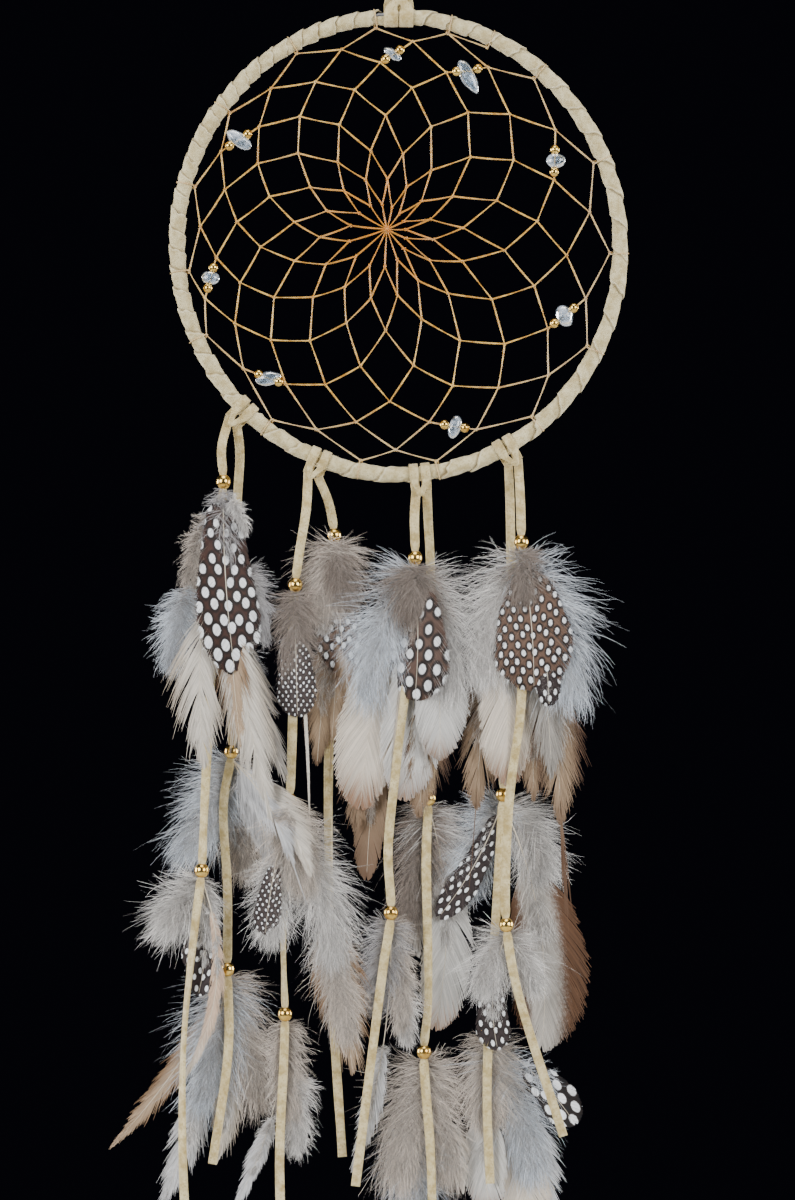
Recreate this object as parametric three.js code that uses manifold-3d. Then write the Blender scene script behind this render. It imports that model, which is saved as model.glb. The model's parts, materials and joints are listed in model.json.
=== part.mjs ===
// Dream catcher, about half a metre tall. A lace loop carries a wire hoop wrapped in suede. A sinew web with
// eight stone charms fills the hoop, and four folded suede laces hang from it, each a pair of tails with brass
// beads and bunches of feathers.
// Millimetres, +Z up, the front faces -Y. The origin is the inside crown of the hanging loop, where a nail sits.
import * as THREE from 'three';
import { mergeVertices } from 'three/addons/utils/BufferGeometryUtils.js';
import Module from 'manifold-3d';

const wasm = await Module();
wasm.setup();

const DEG = Math.PI / 180;
const GAP = 0.3; // clearance kept between pieces that touch

// Hoop: an annealed wire ring, pulled slightly oval, inside a spiral wrap of suede strip
const HOOP_HALF_WIDTH = 73.5; // to the middle of the wire
const HOOP_HALF_HEIGHT = 76;
const HOOP_LEAN = 6 * DEG; // the long axis leans to the left at the top
const RING_R = 1.5;
const WRAP_INNER_R = RING_R + GAP;
const WRAP_OUTER_R = 2.6;
const WRAP_END_GAP = 0.8; // between the two ends of the wrap, under the hanger
const HOOP_SEGMENTS = 44;

// Laces: flat suede cord
const LACE_WIDTH = 3;
const LACE_THICKNESS = 1;
const LACE_CHAMFER = 0.25;
const LACE_STEP = 8; // length of one facet along a lace

// Hitches: each is two bands around the hoop, joined by a bight
const HITCH_INNER_R = WRAP_OUTER_R + 0.5; // the straight bands clear the curved hoop
const HITCH_OUTER_R = HITCH_INNER_R + LACE_THICKNESS;
const HITCH_BAND_SPACE = 0.5; // between the two bands
const BIGHT_OUTER_R = HITCH_OUTER_R + 0.7;
const THROAT_R = HITCH_OUTER_R + 1.5; // where the two tails leave the hitch, from the middle of the wire
const TAIL_SPREAD = 1.8; // half the distance between the two tails at the throat
const TAIL_DEPTH = 0.9; // the tails leave behind the bight

// Hanging loop
const LOOP_HEIGHT = 60; // from the crown to the top of the hoop
const LOOP_CROWN_R = 3; // inside radius of the crown
const LOOP_KNOT_SIZE = new THREE.Vector3(8, 6, 6);
const LOOP_TAIL_LENGTH = 9;

// Web
const THREAD_WIDTH = 0.85;
const THREAD_THICKNESS = 0.7;
const WEB_CENTRE_OFFSET = new THREE.Vector2(-3.9, 5.5); // from the middle of the hoop
const WEB_ANGLES = [96, 118, 142, 164, 187, 205, 234, 260, 280, 308, 332, 358, 383, 411, 437]; // tied by eye
const WEB_PULLS = [0.05, 0.09, 0.115, 0.18, 0.28, 0.33, 0.5]; // how far each row is drawn to the centre
const WEB_PULL_SKEW = 0.18; // the rows are drawn in more on this side
const WEB_SKEW_ANGLE = 20 * DEG;
const WEB_SLIP = 0.035; // the hitches slip back from the middle of a span by this share of it
const WEB_LOOP_INNER_R = WRAP_OUTER_R + 0.5;
const WEB_LOOP_OUTER_R = WEB_LOOP_INNER_R + 0.75;

// Charms: a tumbled stone chip between two small brass beads, threaded on the web
const CHARM_BORE_R = 0.85;
const CHARM_BEAD_R = 1.5;

// Large beads
const BEAD_LENGTH = 4.4;
const BEAD_R = 2.4;
const BEAD_BORE_R = 1.95;
const BEAD_END_R = 2.2;

// Feathers
const QUILL_BUNDLE_LENGTH = 3;
const QUILL_BUNDLE_R = 0.7;
const FEATHER_THICKNESS = 0.9;
const FEATHER_LAYER = 0.5; // each feather of a bunch lies this much further from the lace
const IN_FRONT = -1;
const BEHIND = 1;

const HOOP_CENTRE = new THREE.Vector3(0, 0, -LOOP_HEIGHT - WRAP_OUTER_R - HOOP_HALF_HEIGHT);

const SUEDE = { color: 0xc9a277, roughness: 0.95, metalness: 0 };
const LACE = { color: 0xc08a55, roughness: 0.95, metalness: 0 };
const STEEL = { color: 0x8d8d8d, roughness: 0.4, metalness: 1 };
const SINEW = { color: 0xb08a5a, roughness: 0.6, metalness: 0 };
const BRASS = { color: 0xd8b060, roughness: 0.2, metalness: 1 };
const STONE = { color: 0xd8d0cc, roughness: 0.15, metalness: 0 };
const FEATHER = { color: 0xd9d2c6, roughness: 0.9, metalness: 0 };

// ---------------------------------------------------------------- solids

function solid(geometry) {
  const plain = new THREE.BufferGeometry();
  plain.setAttribute('position', geometry.getAttribute('position'));
  plain.setIndex(geometry.index);
  const merged = mergeVertices(plain, 1e-4);
  const vertProperties = new Float32Array(merged.getAttribute('position').array);
  const corners = merged.index.array;
  const triVerts = [];
  let volume = 0;
  const [a, b, c] = [new THREE.Vector3(), new THREE.Vector3(), new THREE.Vector3()];
  for (let i = 0; i < corners.length; i += 3) {
    const [p, q, r] = corners.slice(i, i + 3);
    if (p === q || q === r || r === p) continue;
    a.fromArray(vertProperties, 3 * p);
    b.fromArray(vertProperties, 3 * q);
    c.fromArray(vertProperties, 3 * r);
    volume += a.dot(b.cross(c));
    triVerts.push(p, q, r);
  }
  if (volume < 0) triVerts.reverse();
  return new wasm.Manifold(new wasm.Mesh({ numProp: 3, vertProperties, triVerts: new Uint32Array(triVerts) }));
}

function joined(geometries) {
  return geometries.map(solid).reduce((whole, piece) => whole.add(piece));
}

function geometryOf(manifold) {
  const { vertProperties, triVerts } = manifold.getMesh();
  const geometry = new THREE.BufferGeometry();
  geometry.setAttribute('position', new THREE.BufferAttribute(vertProperties, 3));
  geometry.setIndex(new THREE.BufferAttribute(triVerts, 1));
  geometry.computeVertexNormals();
  return geometry;
}

function mesh(name, manifold, finish) {
  const made = new THREE.Mesh(geometryOf(manifold), new THREE.MeshStandardMaterial(finish));
  made.name = name;
  return made;
}

// A ring about the Y axis, from a profile of [radius, y] points that closes on itself.
function turned(profile, segments) {
  const points = [...profile, profile[0]].map(([r, y]) => new THREE.Vector2(r, y));
  return new THREE.LatheGeometry(points, segments);
}

function band(innerR, outerR, width, segments) {
  const half = width / 2;
  return turned([[innerR, -half], [outerR, -half], [outerR, half], [innerR, half]], segments);
}

// ---------------------------------------------------------------- hoop

function hoopRadius(angle) {
  const a = angle - HOOP_LEAN;
  const across = HOOP_HALF_HEIGHT * Math.cos(a);
  const along = HOOP_HALF_WIDTH * Math.sin(a);
  return HOOP_HALF_WIDTH * HOOP_HALF_HEIGHT / Math.hypot(across, along);
}

// A point at an angle around the hoop, inset from the middle of the wire toward the hoop's centre.
function hoopPoint(angle, inset = 0) {
  const r = hoopRadius(angle) - inset;
  return HOOP_CENTRE.clone().add(new THREE.Vector3(r * Math.cos(angle), 0, r * Math.sin(angle)));
}

function hoopTangent(angle) {
  const step = 0.5 * DEG;
  return hoopPoint(angle + step).sub(hoopPoint(angle - step)).normalize();
}

// Axes at a point of the hoop: X along the wire, Y to the back, Z toward the hoop's centre.
function hoopFrame(angle) {
  const along = hoopTangent(angle);
  const back = new THREE.Vector3(0, 1, 0);
  const basis = new THREE.Matrix4().makeBasis(along, back, along.clone().cross(back));
  return basis.setPosition(hoopPoint(angle));
}

function hoopTube(tubeR, sides) {
  const profile = [];
  for (let i = 0; i < sides; i++) {
    const a = (i + 0.5) / sides * 2 * Math.PI;
    profile.push([HOOP_HALF_HEIGHT + tubeR * Math.cos(a), tubeR * Math.sin(a)]);
  }
  const tube = turned(profile, HOOP_SEGMENTS);
  tube.scale(HOOP_HALF_WIDTH / HOOP_HALF_HEIGHT, 1, 1);
  tube.rotateY(-HOOP_LEAN);
  return tube.translate(...HOOP_CENTRE);
}

function hoopWrap() {
  const cut = new THREE.BoxGeometry(WRAP_END_GAP, 4 * WRAP_OUTER_R, 4 * WRAP_OUTER_R);
  cut.translate(...hoopPoint(90 * DEG));
  return solid(hoopTube(WRAP_OUTER_R, 10)).subtract(solid(hoopTube(WRAP_INNER_R, 8))).subtract(solid(cut));
}

// ---------------------------------------------------------------- web

const HOOP_MIDDLE = new THREE.Vector2(HOOP_CENTRE.x, HOOP_CENTRE.z);
const WEB_CENTRE = HOOP_MIDDLE.clone().add(WEB_CENTRE_OFFSET);

// Rows of knots in the plane of the hoop, as 2-D points (x, z). Row 0 lies on the hoop. Each later row hangs
// its knots near the middle of the spans of the row before and draws them toward the centre of the web.
function webRows() {
  const fromWire = (WEB_LOOP_INNER_R + WEB_LOOP_OUTER_R) / 2;
  const rows = [WEB_ANGLES.map((degrees) => {
    const p = hoopPoint(degrees * DEG, fromWire);
    return new THREE.Vector2(p.x, p.z);
  })];
  for (const pull of WEB_PULLS) {
    const last = rows.at(-1);
    rows.push(last.map((p, i) => {
      const hung = p.clone().lerp(last[(i + 1) % last.length], 0.5 - WEB_SLIP);
      const around = hung.clone().sub(HOOP_MIDDLE).angle();
      return hung.lerp(WEB_CENTRE, pull * (1 + WEB_PULL_SKEW * Math.cos(around - WEB_SKEW_ANGLE)));
    }));
  }
  return rows;
}

// A polygon with each side moved toward its middle by a distance.
function inset(polygon, distance) {
  const signed = THREE.ShapeUtils.area(polygon) > 0 ? distance : -distance;
  return polygon.map((p, i) => {
    const before = p.clone().sub(polygon[(i + polygon.length - 1) % polygon.length]).normalize();
    const after = polygon[(i + 1) % polygon.length].clone().sub(p).normalize();
    const mitre = new THREE.Vector2(-before.y - after.y, before.x + after.x).normalize();
    const reach = signed / mitre.dot(new THREE.Vector2(-before.y, before.x));
    return p.clone().addScaledVector(mitre, reach);
  });
}

function web(rows) {
  const at = (row, i) => (row < rows.length ? rows[row][i % rows[row].length] : WEB_CENTRE);
  const outline = rows[0].flatMap((p, i) => [p, at(1, i)]);
  const net = new THREE.Shape(inset(outline, -THREAD_WIDTH / 2));
  const cells = [];
  for (let i = 0; i < rows[0].length; i++) {
    for (let row = 0; row < rows.length - 1; row++) {
      cells.push([at(row, i + 1), at(row + 1, i + 1), at(row + 2, i), at(row + 1, i)]);
    }
  }
  net.holes = cells.map((cell) => new THREE.Path(inset(cell, THREAD_WIDTH / 2)));
  const plate = new THREE.ExtrudeGeometry(net, { depth: THREAD_THICKNESS, bevelEnabled: false });
  plate.translate(0, 0, -THREAD_THICKNESS / 2);
  plate.rotateX(90 * DEG);
  const loops = WEB_ANGLES.map((degrees) => {
    const loop = band(WEB_LOOP_INNER_R, WEB_LOOP_OUTER_R, THREAD_WIDTH, 8);
    loop.rotateZ(90 * DEG);
    return loop.applyMatrix4(hoopFrame(degrees * DEG));
  });
  return joined([plate, ...loops]);
}

// Each charm: the two knots of the web, as [row, number], that its stretch of thread joins, how far along the
// stretch it sits, and the stone's length along the thread, its width, its thickness and its drop below it.
const CHARMS = [
  { from: [1, 14], to: [2, 14], along: 0.62, stone: [3.2, 5.8, 2.8], drop: 0 },
  { from: [1, 13], to: [2, 13], along: 0.5, stone: [4.6, 10.5, 3], drop: 2.4 },
  { from: [1, 12], to: [2, 11], along: 0.62, stone: [4.6, 5, 3.4], drop: 0.4 },
  { from: [1, 10], to: [2, 9], along: 0.57, stone: [6, 6.6, 4], drop: 0 },
  { from: [1, 8], to: [2, 7], along: 0.46, stone: [4.4, 6.4, 3.4], drop: 0 },
  { from: [1, 5], to: [2, 5], along: 0.6, stone: [4.8, 7.6, 3.6], drop: 0.4 },
  { from: [1, 4], to: [2, 3], along: 0.5, stone: [4.4, 5.2, 3.4], drop: 0 },
  { from: [1, 2], to: [2, 1], along: 0.46, stone: [5, 8, 3.4], drop: 0 },
];

// Made along X with the thread through the origin: the stone in the middle and a bead on each side of it.
function charm({ stone, drop }) {
  const [length, width, thickness] = stone;
  const chip = new THREE.IcosahedronGeometry(0.56, 0);
  chip.scale(length + 0.6, thickness, width);
  chip.translate(0, 0, -drop);
  const beads = [-1, 1].map((side) => {
    const bead = new THREE.SphereGeometry(CHARM_BEAD_R, 8, 5);
    return bead.translate(side * (length / 2 + 0.8 * CHARM_BEAD_R), 0, 0);
  });
  const bore = new THREE.CylinderGeometry(CHARM_BORE_R, CHARM_BORE_R, length + 8 * CHARM_BEAD_R, 6);
  bore.rotateZ(90 * DEG);
  return joined([chip, ...beads]).subtract(solid(bore));
}

function placeCharm(made, { from, to, along }, rows) {
  const a = rows[from[0]][from[1]];
  const b = rows[to[0]][to[1]];
  const left = a.x < b.x ? a : b;
  const right = a.x < b.x ? b : a;
  const middle = a.clone().lerp(b, along);
  made.position.set(middle.x, 0, middle.y);
  made.rotation.y = -Math.atan2(right.y - left.y, right.x - left.x);
  return made;
}

// ---------------------------------------------------------------- hitches

// A lark's head on the hoop, made in the hoop's frame. The bight joins the bands in front, on the side of the
// hoop that the tails leave from.
function hitch(angle) {
  const reach = (LACE_WIDTH + HITCH_BAND_SPACE) / 2;
  const bands = [-1, 1].map((side) => {
    const loop = band(HITCH_INNER_R, HITCH_OUTER_R, LACE_WIDTH, 12);
    loop.rotateZ(90 * DEG);
    return loop.translate(side * reach, 0, 0);
  });
  const depth = HITCH_OUTER_R - LACE_THICKNESS;
  const bight = new THREE.BoxGeometry(2 * reach + LACE_WIDTH - 0.4, depth, BIGHT_OUTER_R - HITCH_INNER_R);
  bight.translate(0, -depth / 2, -(HITCH_INNER_R + BIGHT_OUTER_R) / 2);
  return joined([...bands, bight].map((piece) => piece.applyMatrix4(hoopFrame(angle))));
}

// ---------------------------------------------------------------- laces

// A route whose frames keep a flat lace facing the front.
class LaceCurve extends THREE.CatmullRomCurve3 {
  computeFrenetFrames(segments) {
    const frames = { tangents: [], normals: [], binormals: [] };
    for (let i = 0; i <= segments; i++) {
      const tangent = this.getTangentAt(i / segments);
      const side = tangent.clone().cross(new THREE.Vector3(0, 1, 0)).normalize();
      frames.tangents.push(tangent);
      frames.binormals.push(side);
      frames.normals.push(side.clone().cross(tangent));
    }
    return frames;
  }
}

function laceSection() {
  const [t, w, c] = [LACE_THICKNESS / 2, LACE_WIDTH / 2, LACE_CHAMFER];
  const corners = [[t, -w + c], [t, w - c], [t - c, w], [c - t, w], [-t, w - c], [-t, c - w], [c - t, -w], [t - c, -w]];
  return new THREE.Shape(corners.map(([x, y]) => new THREE.Vector2(x, y)));
}

function lace(curve, step) {
  const steps = Math.round(curve.getLength() / step);
  return new THREE.ExtrudeGeometry(laceSection(), { steps, extrudePath: curve });
}

// Where a route passes a height, by halving. Routes only go down.
function uAtHeight(curve, z) {
  let [low, high] = [0, 1];
  for (let i = 0; i < 24; i++) {
    const u = (low + high) / 2;
    if (curve.getPointAt(u).z > z) low = u;
    else high = u;
  }
  return low;
}

// The throat of a hitch, where a tail leaves it: side -1 is the left tail.
function throat(angle, side) {
  const outward = THROAT_R * -1;
  const p = hoopPoint(angle, outward);
  return p.addScaledVector(hoopTangent(angle), side * TAIL_SPREAD).setY(TAIL_DEPTH);
}

const HITCH_ANGLES = { a: 226.7 * DEG, b: 249.5 * DEG, c: 275.3 * DEG, d: 297.9 * DEG };

const FRONT_Y = -3.5; // depth of the front tail of each pair
const BACK_Y = 3.5;

// Each tail: its hitch, the side of the throat that it leaves from, its depth, the points that it hangs through
// as [x, z] with the last one its cut end, and the heights of its beads.
const STRANDS = {
  a1: {
    hitch: 'a', side: -1, depth: FRONT_Y, beads: [-217, -345.6],
    hang: [[-58.6, -206], [-58, -217], [-59, -232], [-61, -262], [-63.2, -302.5], [-64.6, -332],
      [-65.2, -345.6], [-67.2, -362], [-71, -400], [-71.6, -430], [-70.9, -455], [-69.5, -472]],
  },
  a2: {
    hitch: 'a', side: 1, depth: BACK_Y, beads: [-306.5, -378.8],
    hang: [[-52.8, -207], [-53.6, -223], [-54.6, -265], [-55.6, -306.5], [-58.2, -324],
      [-56.9, -352.3], [-56.9, -378.8], [-56.6, -405.3], [-61.9, -443.5]],
  },
  b1: {
    hitch: 'b', side: -1, depth: FRONT_Y, beads: [-251.1, -322.4, -393.1],
    hang: [[-30.6, -226], [-32.8, -240], [-34.2, -251.1], [-35, -264], [-35, -290.9], [-36, -322.4],
      [-38.2, -363], [-38, -380], [-37.6, -393.1], [-38, -408], [-39.4, -440], [-38.8, -468]],
  },
  b2: {
    hitch: 'b', side: 1, depth: BACK_Y, beads: [-234.6],
    hang: [[-23.2, -224], [-21.4, -234.6], [-21, -247], [-22.8, -289.3], [-23.4, -332.4],
      [-21.6, -395], [-18.7, -441.1]],
  },
  c1: {
    hitch: 'c', side: -1, depth: FRONT_Y, beads: [-242.2, -359.6],
    hang: [[5.2, -229], [5.4, -242.2], [3.4, -275], [-0.6, -309.2], [-3.5, -339],
      [-2.6, -359.6], [-5.2, -378], [-14.3, -450]],
  },
  c2: {
    hitch: 'c', side: 1, depth: BACK_Y, beads: [-322.1, -406.3],
    hang: [[9.8, -230], [10.4, -241.2], [11.4, -300.9], [10, -322.1], [9.2, -340],
      [9.8, -390], [8.4, -406.3], [10.6, -440], [11.4, -472]],
  },
  d1: {
    hitch: 'd', side: 1, depth: FRONT_Y, beads: [-236.9, -363.6],
    hang: [[40.2, -222], [40.6, -236.9], [41.2, -270], [40.2, -294.3], [36.9, -319.1],
      [35.3, -350], [35.6, -363.6], [39, -384], [54.5, -433.5]],
  },
  d2: {
    hitch: 'd', side: -1, depth: BACK_Y, beads: [-320.8, -399],
    hang: [[37, -225], [37.2, -260], [34.6, -320.8], [32.4, -360], [29.9, -399],
      [29.4, -425], [30.4, -450]],
  },
};

function strandCurve({ hitch: name, side, depth, hang }) {
  const start = throat(HITCH_ANGLES[name], side);
  return new LaceCurve([start, ...hang.map(([x, z]) => new THREE.Vector3(x, depth, z))]);
}

// ---------------------------------------------------------------- beads and feathers

function bead() {
  const half = BEAD_LENGTH / 2;
  return turned([
    [BEAD_BORE_R, -half], [BEAD_END_R, -half], [BEAD_R, -half / 2],
    [BEAD_R, half / 2], [BEAD_END_R, half], [BEAD_BORE_R, half],
  ], 8);
}

function placeBead(made, curve, z) {
  const u = uAtHeight(curve, z);
  made.position.copy(curve.getPointAt(u));
  made.quaternion.setFromUnitVectors(new THREE.Vector3(0, 1, 0), curve.getTangentAt(u));
  return made;
}

// The outline of one feather, hanging from the origin, with a narrow quill end and a rounded tip.
function featherShape(length, width) {
  const POINTS = 7;
  const side = [];
  for (let i = 0; i <= POINTS; i++) {
    const t = i / POINTS;
    const half = QUILL_BUNDLE_R + (width / 2 - QUILL_BUNDLE_R) * Math.sin(Math.PI * t ** 0.85) ** 0.8;
    side.push(new THREE.Vector2(half * (1 - t ** 8), -length * t));
  }
  const mirrored = side.slice(0, -1).reverse().map((p) => new THREE.Vector2(-p.x, p.y));
  return new THREE.Shape([...side, ...mirrored]);
}

// A bunch: feathers that fan out from one bundle of quills, in layers to one side of the lace.
function bunch({ side, feathers }) {
  const clear = LACE_THICKNESS / 2 + GAP;
  const pieces = feathers.map(([length, width, lean], layer) => {
    const vane = new THREE.ExtrudeGeometry(featherShape(length, width), { depth: FEATHER_THICKNESS, bevelEnabled: false });
    vane.rotateX(90 * DEG);
    vane.rotateX(180 * DEG);
    vane.rotateY(180 * DEG);
    vane.computeBoundingBox();
    const { min, max } = vane.boundingBox;
    vane.translate(0, -(min.y + max.y) / 2, 0);
    vane.rotateY(-lean * DEG);
    const depth = clear + FEATHER_THICKNESS / 2 + layer * FEATHER_LAYER;
    return vane.translate(0, side * depth, -1);
  });
  const deep = FEATHER_THICKNESS + (feathers.length - 1) * FEATHER_LAYER;
  const bundle = new THREE.BoxGeometry(2 * QUILL_BUNDLE_R, deep, QUILL_BUNDLE_LENGTH);
  bundle.translate(0, side * (clear + deep / 2), -QUILL_BUNDLE_LENGTH / 2);
  return joined([bundle, ...pieces]);
}

// Each bunch: the bead it hangs from, the side of the lace it is on, and for each feather its length, its width
// and how many degrees it leans to the right.
const BUNCHES = {
  a1_upper: { strand: 'a1', bead: 0, side: IN_FRONT, feathers: [[90, 9, 2], [36, 26, -10], [58, 14, 0]] },
  a1_lower: { strand: 'a1', bead: 1, side: BEHIND, feathers: [[22, 20, -8], [38, 8, 0], [70, 6, -6]] },
  a2_upper: { strand: 'a2', bead: 0, side: BEHIND, feathers: [[36, 24, -14], [38, 8, 8]] },
  a2_lower: { strand: 'a2', bead: 1, side: BEHIND, feathers: [[46, 24, -5], [68, 5, -34], [78, 9, -15]] },
  b1_upper: { strand: 'b1', bead: 0, side: IN_FRONT, feathers: [[40, 9, 3], [30, 15, 2]] },
  b1_middle: { strand: 'b1', bead: 1, side: BEHIND, feathers: [[60, 20, 6], [94, 8, 9.5]] },
  b1_lower: { strand: 'b1', bead: 2, side: BEHIND, feathers: [[38, 14, 0], [60, 7, -5]] },
  b2_upper: { strand: 'b2', bead: 0, side: IN_FRONT, feathers: [[74, 6, -3], [38, 12, -12]] },
  c1_upper: { strand: 'c1', bead: 0, side: IN_FRONT, feathers: [[106, 7, -4], [88, 10, -9], [56, 34, -2]] },
  c1_lower: { strand: 'c1', bead: 1, side: BEHIND, feathers: [[46, 16, -3]] },
  c2_upper: { strand: 'c2', bead: 0, side: BEHIND, feathers: [[40, 24, 0], [70, 9, 5]] },
  c2_lower: { strand: 'c2', bead: 1, side: BEHIND, feathers: [[50, 30, -2], [58, 9, 3]] },
  d1_upper: { strand: 'd1', bead: 0, side: IN_FRONT, feathers: [[88, 8, 5], [62, 36, 6], [54, 20, 2]] },
  d1_lower: { strand: 'd1', bead: 1, side: BEHIND, feathers: [[30, 20, 2], [46, 8, 8]] },
  d2_upper: { strand: 'd2', bead: 0, side: BEHIND, feathers: [[34, 22, 12], [76, 12, 5]] },
  d2_lower: { strand: 'd2', bead: 1, side: BEHIND, feathers: [[34, 14, 9], [44, 8, 42], [64, 10, 8]] },
};

function placeBunch(made, curve, z) {
  const u = uAtHeight(curve, z);
  const down = curve.getTangentAt(u).multiplyScalar(BEAD_LENGTH / 2 + GAP);
  made.position.copy(curve.getPointAt(u)).add(down);
  return made;
}

// ---------------------------------------------------------------- hanging loop

// Up one leg from the hitch, over the nail and down the other.
function loopCurve() {
  const foot = hoopPoint(90 * DEG, -THROAT_R).z;
  const crown = LACE_THICKNESS / 2;
  const shoulder = LOOP_CROWN_R + LACE_THICKNESS / 2;
  const leg = [[TAIL_SPREAD, foot], [TAIL_SPREAD, foot + 10], [2.6, foot + 28], [shoulder, -10]];
  const arch = [[shoulder, -LOOP_CROWN_R]];
  for (let a = 30; a < 90; a += 30) {
    arch.push([shoulder * Math.cos(a * DEG), -LOOP_CROWN_R + (crown + LOOP_CROWN_R) * Math.sin(a * DEG)]);
  }
  const right = [...leg, ...arch];
  const left = right.map(([x, z]) => [-x, z]);
  const route = [...left, [0, crown], ...right.reverse()];
  return new THREE.CatmullRomCurve3(route.map(([x, z]) => new THREE.Vector3(x, 0, z)));
}

// The lace's faces turn with the loop, so its width lies along Y.
function hangingLoop() {
  const section = laceSection();
  const curve = loopCurve();
  curve.computeFrenetFrames = (segments) => {
    const frames = { tangents: [], normals: [], binormals: [] };
    for (let i = 0; i <= segments; i++) {
      const tangent = curve.getTangentAt(i / segments);
      const side = new THREE.Vector3(0, 1, 0);
      frames.tangents.push(tangent);
      frames.binormals.push(side);
      frames.normals.push(side.clone().cross(tangent));
    }
    return frames;
  };
  return solid(new THREE.ExtrudeGeometry(section, { steps: 32, extrudePath: curve }));
}

// The overhand knot that ties the two ends of the loop together, with its tails.
function loopKnot() {
  const lump = new THREE.SphereGeometry(0.5, 10, 8);
  lump.scale(...LOOP_KNOT_SIZE);
  const tails = [-1, 1].map((side) => {
    const tail = new THREE.BoxGeometry(LACE_THICKNESS, LACE_WIDTH, LOOP_TAIL_LENGTH);
    tail.translate(0, 0, LOOP_TAIL_LENGTH / 2 + 1);
    return tail.rotateY(side * 14 * DEG);
  });
  return joined([lump, ...tails]);
}

// ---------------------------------------------------------------- the whole

const dreamCatcher = new THREE.Group();
const rows = webRows();

dreamCatcher.add(mesh('hanging_loop', hangingLoop(), LACE));
const knot = mesh('loop_knot', loopKnot(), LACE);
knot.position.z = LACE_THICKNESS + GAP + LOOP_KNOT_SIZE.z / 2;
dreamCatcher.add(knot);
dreamCatcher.add(mesh('hanger_hitch', hitch(90 * DEG), LACE));
dreamCatcher.add(mesh('hoop_ring', solid(hoopTube(RING_R, 8)), STEEL));
dreamCatcher.add(mesh('hoop_wrap', hoopWrap(), SUEDE));
dreamCatcher.add(mesh('web', web(rows), SINEW));
CHARMS.forEach((spec, i) => {
  dreamCatcher.add(placeCharm(mesh(`charm_${i + 1}`, charm(spec), STONE), spec, rows));
});
for (const [name, angle] of Object.entries(HITCH_ANGLES)) {
  dreamCatcher.add(mesh(`hitch_${name}`, hitch(angle), LACE));
}
const curves = {};
for (const [name, strand] of Object.entries(STRANDS)) {
  curves[name] = strandCurve(strand);
  dreamCatcher.add(mesh(`lace_${name}`, solid(lace(curves[name], LACE_STEP)), LACE));
}
for (const [name, spec] of Object.entries(BUNCHES)) {
  const curve = curves[spec.strand];
  const z = STRANDS[spec.strand].beads[spec.bead];
  dreamCatcher.add(placeBead(mesh(`bead_${name}`, solid(bead()), BRASS), curve, z));
  dreamCatcher.add(placeBunch(mesh(`feathers_${name}`, bunch(spec), FEATHER), curve, z));
}

export default dreamCatcher;
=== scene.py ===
"""Dream catcher, about half a metre tall: the looks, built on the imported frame.

The frame is in metres, +Z up, with the front facing -Y and the origin inside the crown of the hanging loop.
Lengths in this script are millimetres, as in the part, and become metres when a mesh is made.
"""

import json
import math
from collections import namedtuple

import bpy
import numpy as np
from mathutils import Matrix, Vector

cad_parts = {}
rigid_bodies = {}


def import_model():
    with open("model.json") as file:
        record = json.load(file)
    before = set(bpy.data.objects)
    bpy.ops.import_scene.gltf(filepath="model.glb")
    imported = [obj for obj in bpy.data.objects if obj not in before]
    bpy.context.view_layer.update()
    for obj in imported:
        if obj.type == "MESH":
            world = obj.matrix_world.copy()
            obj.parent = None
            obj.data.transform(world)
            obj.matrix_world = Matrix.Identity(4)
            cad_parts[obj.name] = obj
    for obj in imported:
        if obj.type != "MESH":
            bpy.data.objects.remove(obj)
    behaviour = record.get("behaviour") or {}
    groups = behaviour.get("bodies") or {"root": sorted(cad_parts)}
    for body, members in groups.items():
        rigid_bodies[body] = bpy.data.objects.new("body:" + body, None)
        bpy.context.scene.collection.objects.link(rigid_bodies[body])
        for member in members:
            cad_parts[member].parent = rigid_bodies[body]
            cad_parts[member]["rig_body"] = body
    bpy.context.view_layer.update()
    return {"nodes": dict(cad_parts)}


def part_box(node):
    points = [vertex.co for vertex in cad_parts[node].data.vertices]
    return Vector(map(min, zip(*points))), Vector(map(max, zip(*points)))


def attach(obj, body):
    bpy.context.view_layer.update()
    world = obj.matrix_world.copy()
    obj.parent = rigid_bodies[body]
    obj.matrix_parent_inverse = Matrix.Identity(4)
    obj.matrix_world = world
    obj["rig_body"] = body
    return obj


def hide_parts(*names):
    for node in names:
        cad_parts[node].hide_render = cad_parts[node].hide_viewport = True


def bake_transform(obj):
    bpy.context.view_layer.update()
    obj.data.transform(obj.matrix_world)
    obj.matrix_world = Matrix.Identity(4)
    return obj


MM = 0.001
FRONT = np.array([0.0, -1.0, 0.0])
BACK = -FRONT

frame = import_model()

# Hoop, as in the part
HOOP_HALF_WIDTH = 73.5
HOOP_HALF_HEIGHT = 76.0
HOOP_LEAN = math.radians(6)
HOOP_CENTRE = np.array([0.0, 0.0, -138.6])
WRAP_R = 2.6
LACE_WIDTH = 3.0
LACE_THICKNESS = 1.0

# Hitches
HITCH_ANGLES = {"a": 226.7, "b": 249.5, "c": 275.3, "d": 297.9}
HANGER_ANGLE = 90.0
HITCH_R = 3.15  # from the middle of the wire to the middle of a band
BAND_OFFSET = 1.95  # half the distance between the middles of the two bands
THROAT_R = 5.6
TAIL_SPREAD = 1.8
TAIL_DEPTH = 0.9

# -------- camera, stage and light

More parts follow.
